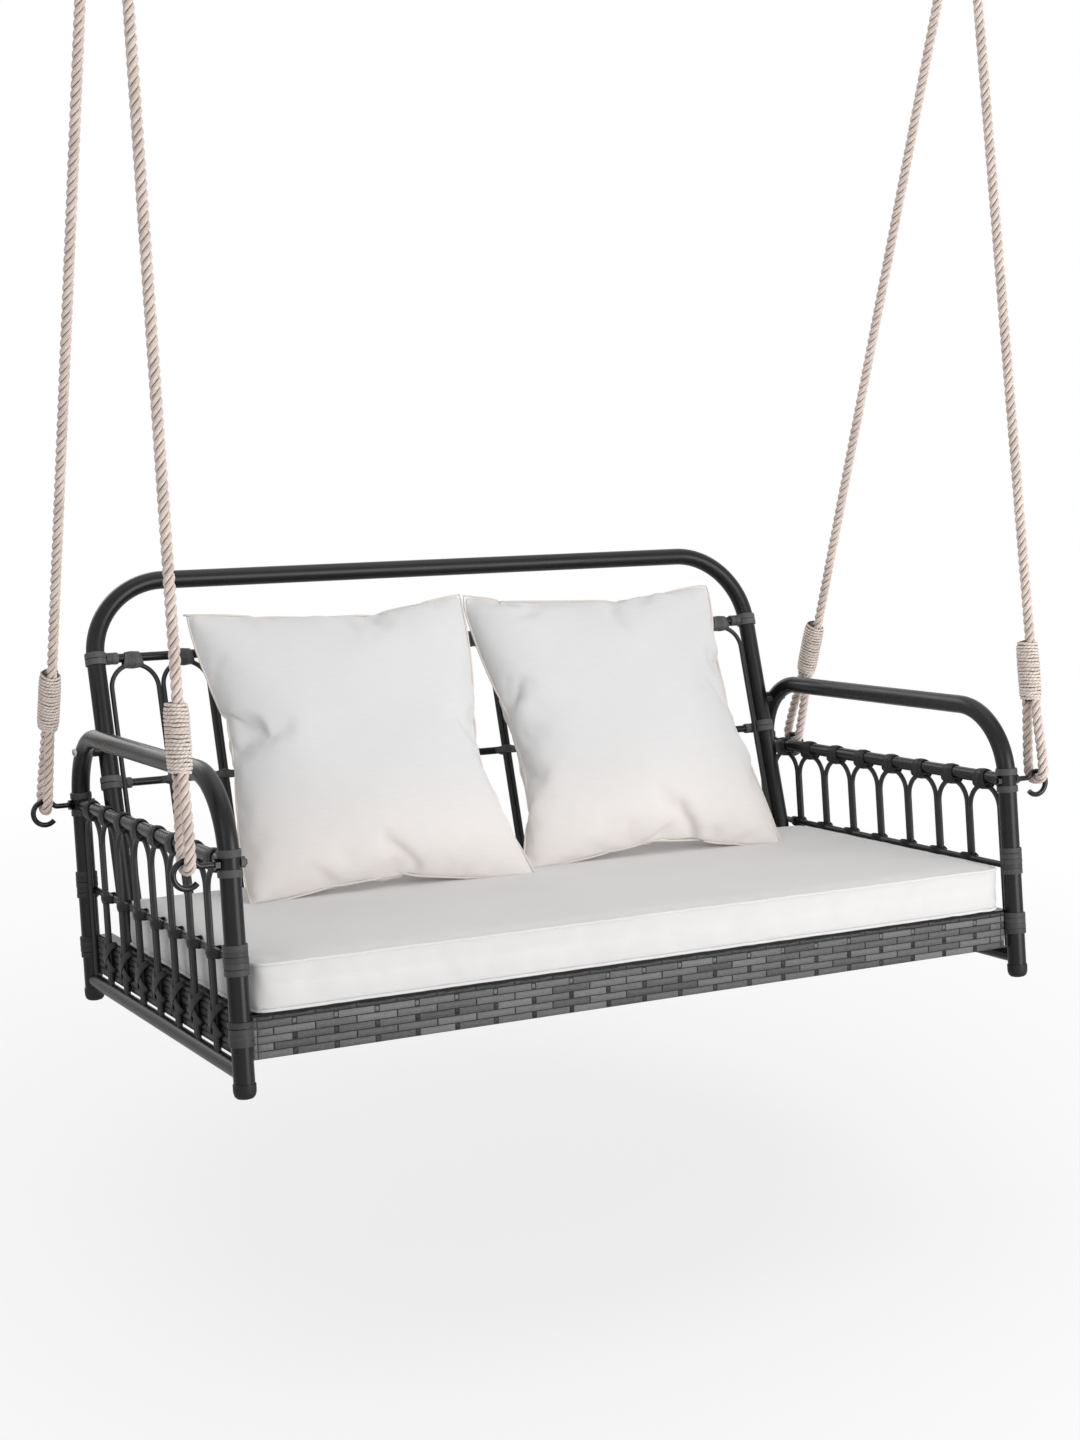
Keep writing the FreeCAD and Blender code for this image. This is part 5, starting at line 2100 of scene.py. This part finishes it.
def two_sheets(
    index: Spots, columns: int, lines: int, sheets: Sequence[int]
) -> list[Face]:
    """The faces of two grids that look away from one another.

    Args:
        index: The vertex at each sheet's columns and lines.
        columns: How many cells a line has.
        lines: How many cells a column has.
        sheets: The two sheets; the second one's faces are turned.

    Returns:
        The faces.
    """
    faces: list[Face] = []
    for i in range(columns):
        for j in range(lines):
            ring = ((i, j), (i + 1, j), (i + 1, j + 1), (i, j + 1))
            faces.append(tuple(index[(sheets[0], *pair)] for pair in ring))
            faces.append(tuple(index[(sheets[1], *pair)] for pair in reversed(ring)))
    return faces


@dataclass
class SeatCushion:
    """The box-edged cushion on the seat, with welted seams."""

    shop: Workshop
    half: float = 0.605
    front: float = -0.345
    rear: float = 0.195
    corner: float = 0.024
    columns: int = 88
    lines: int = 40
    levels: int = 5
    crown: float = 0.006
    wrinkles: float = 0.0003
    rim_step: float = 0.0137
    welt: float = 0.0021
    welt_inset: Triple = (0.0016, 0.0035, 0.02)
    fill: float = 0.85

    def spot(self, i: int, j: int) -> Pair:
        """A point of the grid, with the corners rounded.

        Args:
            i: The point's column.
            j: The point's line.

        Returns:
            Its place on the flat cover.
        """
        deep = (self.rear - self.front) / 2
        x = (2 * i / self.columns - 1) * self.half
        y = (2 * j / self.lines - 1) * deep
        far_x = abs(x) - (self.half - self.corner)
        far_y = abs(y) - (deep - self.corner)
        if far_x > 0 and far_y > 0:
            scale = max(far_x, far_y) / math.hypot(far_x, far_y)
            x = math.copysign(self.half - self.corner + far_x * scale, x)
            y = math.copysign(deep - self.corner + far_y * scale, y)
        return x, y + (self.front + self.rear) / 2

    def grid(self) -> tuple[np.ndarray, list[Face], np.ndarray, list[int], list[int]]:
        """The shell before it is filled.

        Returns:
            The vertices, the faces, the flat pattern, and the upper and the lower seam.
        """
        rows: list[Triple] = []
        flat: list[Pair] = []
        index: Spots = {}
        for level in (0, self.levels):
            for i in range(self.columns + 1):
                for j in range(self.lines + 1):
                    x, y = self.spot(i, j)
                    index[(level, i, j)] = len(rows)
                    rows.append((x, y, SIZES.cushion_bottom + level / self.levels * SIZES.cushion_thickness))
                    flat.append((x, y + 2.0 * level))
        rim = rim_of(self.columns, self.lines)
        for level in range(1, self.levels):
            rise = level / self.levels * SIZES.cushion_thickness
            for step, pair in enumerate(rim):
                index[(level, *pair)] = len(rows)
                rows.append((*self.spot(*pair), SIZES.cushion_bottom + rise))
                flat.append((step * self.rim_step, rise))
        faces = two_sheets(index, self.columns, self.lines, (self.levels, 0))
        for level in range(self.levels):
            for pair, after in zip(rim, rim[1:] + rim[:1]):
                ring = ((level, *pair), (level, *after), (level + 1, *after), (level + 1, *pair))
                faces.append(tuple(index[corner] for corner in ring))
        upper, lower = ([index[(level, *pair)] for pair in rim] for level in (self.levels, 0))
        return np.array(rows), faces, np.array(flat), upper, lower

    def build(self) -> None:
        rows, faces, flat, upper, lower = self.grid()
        settled = rows
        start = rows + np.random.default_rng(9).normal(0.0, self.wrinkles, rows.shape)
        shell = ClothShell(start, faces, 5.0, 18, stiffness=12.0, shrink=-0.012, pinned=upper + lower)
        settled = shell.settle()
        moved = settled - rows
        size = np.linalg.norm(moved, axis=1)
        held = np.minimum(1.0, self.crown / np.maximum(size, 1e-9))
        settled = rows + moved * held[:, None]
        under = rows[:, 2] < SIZES.cushion_bottom + 1e-6
        settled[under, 2] = np.maximum(settled[under, 2], SIZES.cushion_bottom)
        body = "seat_cushion"
        canvas = self.shop.finishes.canvas
        cover = cloth_mesh("cushion_cover", settled, faces, flat)
        piece = self.shop.put("box_cushion", cover, canvas, ["seat_cushion"], body, SOFT_EDGES)
        refine(piece)
        middle = SIZES.cushion_bottom + SIZES.cushion_thickness / 2
        centre = np.array((0.0, (self.front + self.rear) / 2, middle))
        inset = np.array(self.welt_inset)
        lines = [settled[seam] + (centre - settled[seam]) * inset for seam in (upper, lower)]
        self.shop.welt("cushion_welts", lines, self.welt, 10, canvas, body)


@dataclass
class Pillow:
    """A knife-edged pillow that stands on the cushion and leans on the back."""

    side: Side
    shop: Workshop
    seed: int
    yaw: float
    roll: float
    x: float
    foot: float
    width: float = 0.458
    height: float = 0.489
    thickness: float = 0.130
    bulge: float = 0.026
    flat_puff: float = 0.012
    wrinkles: float = 0.0004
    hollow: float = 0.55
    calm: float = 0.75
    ear: float = 0.024
    ear_level: float = -0.55
    ear_spread: float = 0.55
    lean: float = math.radians(30.5)
    sag: float = 0.10
    over_cushion: float = 0.004
    foot_height: float = 0.012
    from_back: float = 0.0150
    cells: int = 44
    welt: float = 0.0017
    filling: float = 0.55

    def grid(self) -> tuple[np.ndarray, list[Face], np.ndarray, list[int]]:
        """Two squares of cloth joined at their edges, lying in the XZ plane.

        Returns:
            The vertices, the faces, the flat pattern and the seam.
        """
        cells = self.cells
        rows: list[Triple] = []
        flat: list[Pair] = []
        index: Spots = {}
        for face in (0, 1):
            for i in range(cells + 1):
                for j in range(cells + 1):
                    if face and (i in (0, cells) or j in (0, cells)):
                        index[(1, i, j)] = index[(0, i, j)]
                        continue
                    u, v = 2 * i / cells - 1, 2 * j / cells - 1
                    x = u * self.width / 2 * (1 + self.bulge * (1 - v * v))
                    z = v * self.height / 2 * (1 + self.bulge * (1 - u * u))
                    puff = self.flat_puff * (1 - u**4) * (1 - v**4)
                    index[(face, i, j)] = len(rows)
                    rows.append((x, (puff if face else -puff), z))
                    flat.append((x, z))
        seam = [index[(0, *pair)] for pair in rim_of(cells, cells)]
        return np.array(rows), two_sheets(index, cells, cells, (0, 1)), np.array(flat), seam

    def fill(self, rows: np.ndarray, faces: list[Face]) -> np.ndarray:
        """Fill the pillow.

        Args:
            rows: The flat shell.
            faces: Its faces.

        Returns:
            The filled shell.
        """
        start = rows.copy()
        start[:, 1] += np.random.default_rng(self.seed).normal(0.0, self.wrinkles, len(rows))
        filled = ClothShell(start, faces, 7.0, 34, stiffness=14.0, bending=0.9).settle()
        filled -= filled.mean(axis=0)
        ends = (np.abs(rows[:, 0]) > self.width * 0.499) & (np.abs(rows[:, 2]) > self.height * 0.499)
        corners = filled[ends]
        filled = self.trim(rows, filled)
        deep = np.percentile(np.abs(filled[:, 1]), 99.5)
        wide = np.abs(corners[:, 0]).mean()
        high = np.abs(corners[:, 2]).mean()
        return filled * np.array((self.width / 2 / wide, self.thickness / 2 / deep, self.height / 2 / high))

    def trim(self, rows: np.ndarray, filled: np.ndarray) -> np.ndarray:
        """Draw the four seams into smooth shallow curves, and the inner one into an ear.

        Args:
            rows: The flat shell, which tells the seams.
            filled: The filled shell.

        Returns:
            The shell with calmer seams.
        """
        share = rows / (np.array((self.width, 1.0, self.height)) / 2)
        calm = filled.copy()
        for axis, other in ((0, 2), (2, 0)):
            for side in (-1.0, 1.0):
                edge = share[:, axis] * side > 0.9999
                order = np.argsort(share[edge, other])
                run = share[edge, other][order]
                found = filled[edge, axis][order]
                ends = np.interp(run, (-1.0, 1.0), (found[0], found[-1]))
                bow = np.polynomial.Polynomial.fit(run, found - ends, 4)
                move = (ends + bow(run) * ((1 - run**2) * self.hollow) - found) * self.calm
                if axis == 0 and side == -self.side.value:
                    waist = np.exp(-(((run - self.ear_level) / self.ear_spread) ** 2))
                    move -= side * self.ear * (1 - run**2) * waist
                reach = np.clip(1 - (1 - share[:, axis] * side) / 0.5, 0.0, 1.0) ** 2
                calm[:, axis] += np.interp(share[:, other], run, move) * reach
        return calm

    def rest(self, rows: np.ndarray) -> np.ndarray:
        """Lean the pillow on the back and let it sit on the cushion.

        Args:
            rows: The filled shell.

        Returns:
            The shell in the seat's axes.
        """
        half = self.height / 2
        low = np.clip((-rows[:, 2] + half * 0.1) / half, 0.0, 1.0)
        rows = rows.copy()
        rows[:, 1] *= 1.0 + self.sag * low - self.sag * (1 - low)
        turn = Matrix.Rotation(self.yaw, 3, "Z") @ Matrix.Rotation(-self.lean, 3, "X")
        rows = rows @ np.array(turn @ Matrix.Rotation(self.roll, 3, "Y")).T
        floor = SIZES.cushion_bottom + SIZES.cushion_thickness + self.over_cushion
        rows[:, 2] += floor - np.percentile(rows[:, 2], 0.6)
        lowest = rows[:, 2] < floor
        rows[lowest, 2] = floor - (floor - rows[lowest, 2]) * 0.15
        foot = rows[rows[:, 2] < floor + self.foot_height]
        rows[:, 0] += self.x
        rows[:, 1] += self.foot - foot[:, 1].mean()
        normal = SIZES.back_normal()
        plane = Vector((0, SIZES.back_y(floor), floor)).dot(normal) - self.from_back
        over = rows @ np.array(normal) - plane
        return rows - np.maximum(over, 0.0)[:, None] * np.array(normal)

    def build(self) -> None:
        rows, faces, flat, rim = self.grid()
        settled = self.rest(self.fill(rows, faces))
        shop = self.shop
        word = self.side.word
        body = f"{word}_pillow"
        cover = cloth_mesh(body + "_cover", settled, faces, flat)
        piece = shop.put(f"{word}_back_pillow", cover, shop.finishes.pillow, [body], body, SOFT_EDGES)
        refine(piece)
        shop.welt(body + "_welt", [settled[rim]], self.welt, 8, shop.finishes.piping, body)


@dataclass
class Studio:
    """The camera, the lamps, the world and the floor."""

    lens: float = 55.93
    eye: Triple = (-1.5674, -3.0039, 0.7690)
    right: Triple = (0.88528, -0.46427, -0.02666)
    up: Triple = (0.07219, 0.08056, 0.99412)
    back: Triple = (-0.45941, -0.88201, 0.10483)
    floor_drop: float = 0.30
    floor_half: float = 14.0

    def build(self) -> None:
        """Build everything round the swing."""
        self._camera()
        self._lamps()
        self._world()
        self._floor()

    def _camera(self) -> None:
        """Stand the camera where the photograph was taken, beside the hanging seat."""
        data = bpy.data.cameras.new("view")
        data.lens = self.lens
        data.sensor_width = 36.0
        data.clip_end = 60.0
        camera = stand("view", data)
        turn = Matrix((self.right, self.up, self.back)).transposed().to_4x4()
        camera.matrix_world = SEAT @ Matrix.Translation(self.eye) @ turn
        bpy.context.scene.camera = camera

    def _lamp(self, name: str, place: Sequence[float], size: float, power: float) -> None:
        """Add a soft square lamp that faces the seat.

        Args:
            name: The lamp's name.
            place: Where it stands, from the point that it faces.
            size: The length of its sides.
            power: Its power in watts.
        """
        data = bpy.data.lights.new(name, "AREA")
        data.size = size
        data.energy = power
        lamp = stand(name, data)
        target = SEAT @ Vector((0, 0, 0.3))
        lamp.location = target + Vector(place)
        lamp.rotation_mode = "QUATERNION"
        lamp.rotation_quaternion = (target - lamp.location).to_track_quat("-Z", "Y")

    def _lamps(self) -> None:
        """Add the front, side, top and rear lamps, each with its place, size and power."""
        lamps = (
            ("front_lamp", (1.5, -3.3, 1.0), 2.4, 78.0),
            ("left_lamp", (-3.0, -1.6, 1.4), 1.8, 9.0),
            ("top_lamp", (0.3, 0.4, 2.6), 2.2, 13.0),
            ("rear_lamp", (-0.7, 3.2, 1.5), 2.0, 26.0),
        )
        for lamp in lamps:
            self._lamp(*lamp)

    def _world(self) -> None:
        """White to the camera and to reflections, and a plain soft level otherwise."""
        world = bpy.data.worlds.new("studio")
        world.use_nodes = True
        bpy.context.scene.world = world
        graph = Graph(world.node_tree)
        ground = world.node_tree.nodes["Background"]
        path = graph.node("ShaderNodeLightPath")
        seen = graph.math("MAXIMUM", path.outputs["Is Camera Ray"], path.outputs["Is Glossy Ray"])
        seen = graph.math("MAXIMUM", seen, path.outputs["Is Transmission Ray"])
        ground.inputs["Color"].default_value = (1, 1, 1, 1)
        graph.link(graph.spread(seen, 0.0, 1.0, 0.45, 1.0), ground.inputs["Strength"])

    def _floor(self) -> None:
        """Lay a pale floor under the seat that fades into the white."""
        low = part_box("foot_caps")[0][2] - self.floor_drop
        far = self.floor_half
        corners = [(-far, -far, low), (far, -far, low), (far, far, low), (-far, far, low)]
        mesh = marked_mesh("floor", corners, [], [(0, 1, 2, 3)], {})
        made = bpy.data.materials.new("pale_floor")
        made.use_nodes = True
        graph = Graph(made.node_tree)
        nodes = made.node_tree.nodes
        shader = nodes["Principled BSDF"]
        shader.inputs["Base Color"].default_value = (0.88, 0.88, 0.88, 1)
        shader.inputs["Roughness"].default_value = 0.9
        place = graph.node("ShaderNodeTexCoord").outputs["Object"]
        away = graph.length(graph.vector("MULTIPLY", place, (1.0, 1.0, 0.0)))
        fade = graph.spread(away, 0.4, 2.2, 0.68, 1.0)
        seen = graph.node("ShaderNodeLightPath").outputs["Is Camera Ray"]
        glow = graph.node("ShaderNodeEmission", {"Color": (1, 1, 1, 1), "Strength": 1.0})
        inputs = {0: graph.math("MULTIPLY", fade, seen), 1: shader.outputs[0], 2: glow.outputs[0]}
        mix = graph.node("ShaderNodeMixShader", inputs)
        graph.link(mix.outputs[0], nodes["Material Output"].inputs["Surface"])
        mesh.materials.append(made)
        stand("floor", mesh)


def main() -> None:
    """Build the swing's sub-assemblies in order."""
    logging.basicConfig(level=logging.INFO, format="%(name)s: %(message)s")
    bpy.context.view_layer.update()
    bpy.context.scene.view_settings.view_transform = "Standard"
    Studio().build()
    shop = Workshop()
    for side in Side:
        for place in Place:
            LaidRope(side, place, shop).build()
    for side in Side:
        SideFrame(side, shop).build()
    BackFrame(shop).build()
    WovenAprons(shop).build()
    Fittings(shop).build()
    SeatCushion(shop).build()
    pillows = ((Side.LEFT, 3, -1.5, 0.2, -0.2385, 0.046), (Side.RIGHT, 8, -3.0, -0.2, 0.237, 0.068))
    for side, seed, yaw, roll, x, foot in pillows:
        Pillow(side, shop, seed, math.radians(yaw), math.radians(roll), x, foot).build()


if __name__ == "__main__":
    main()
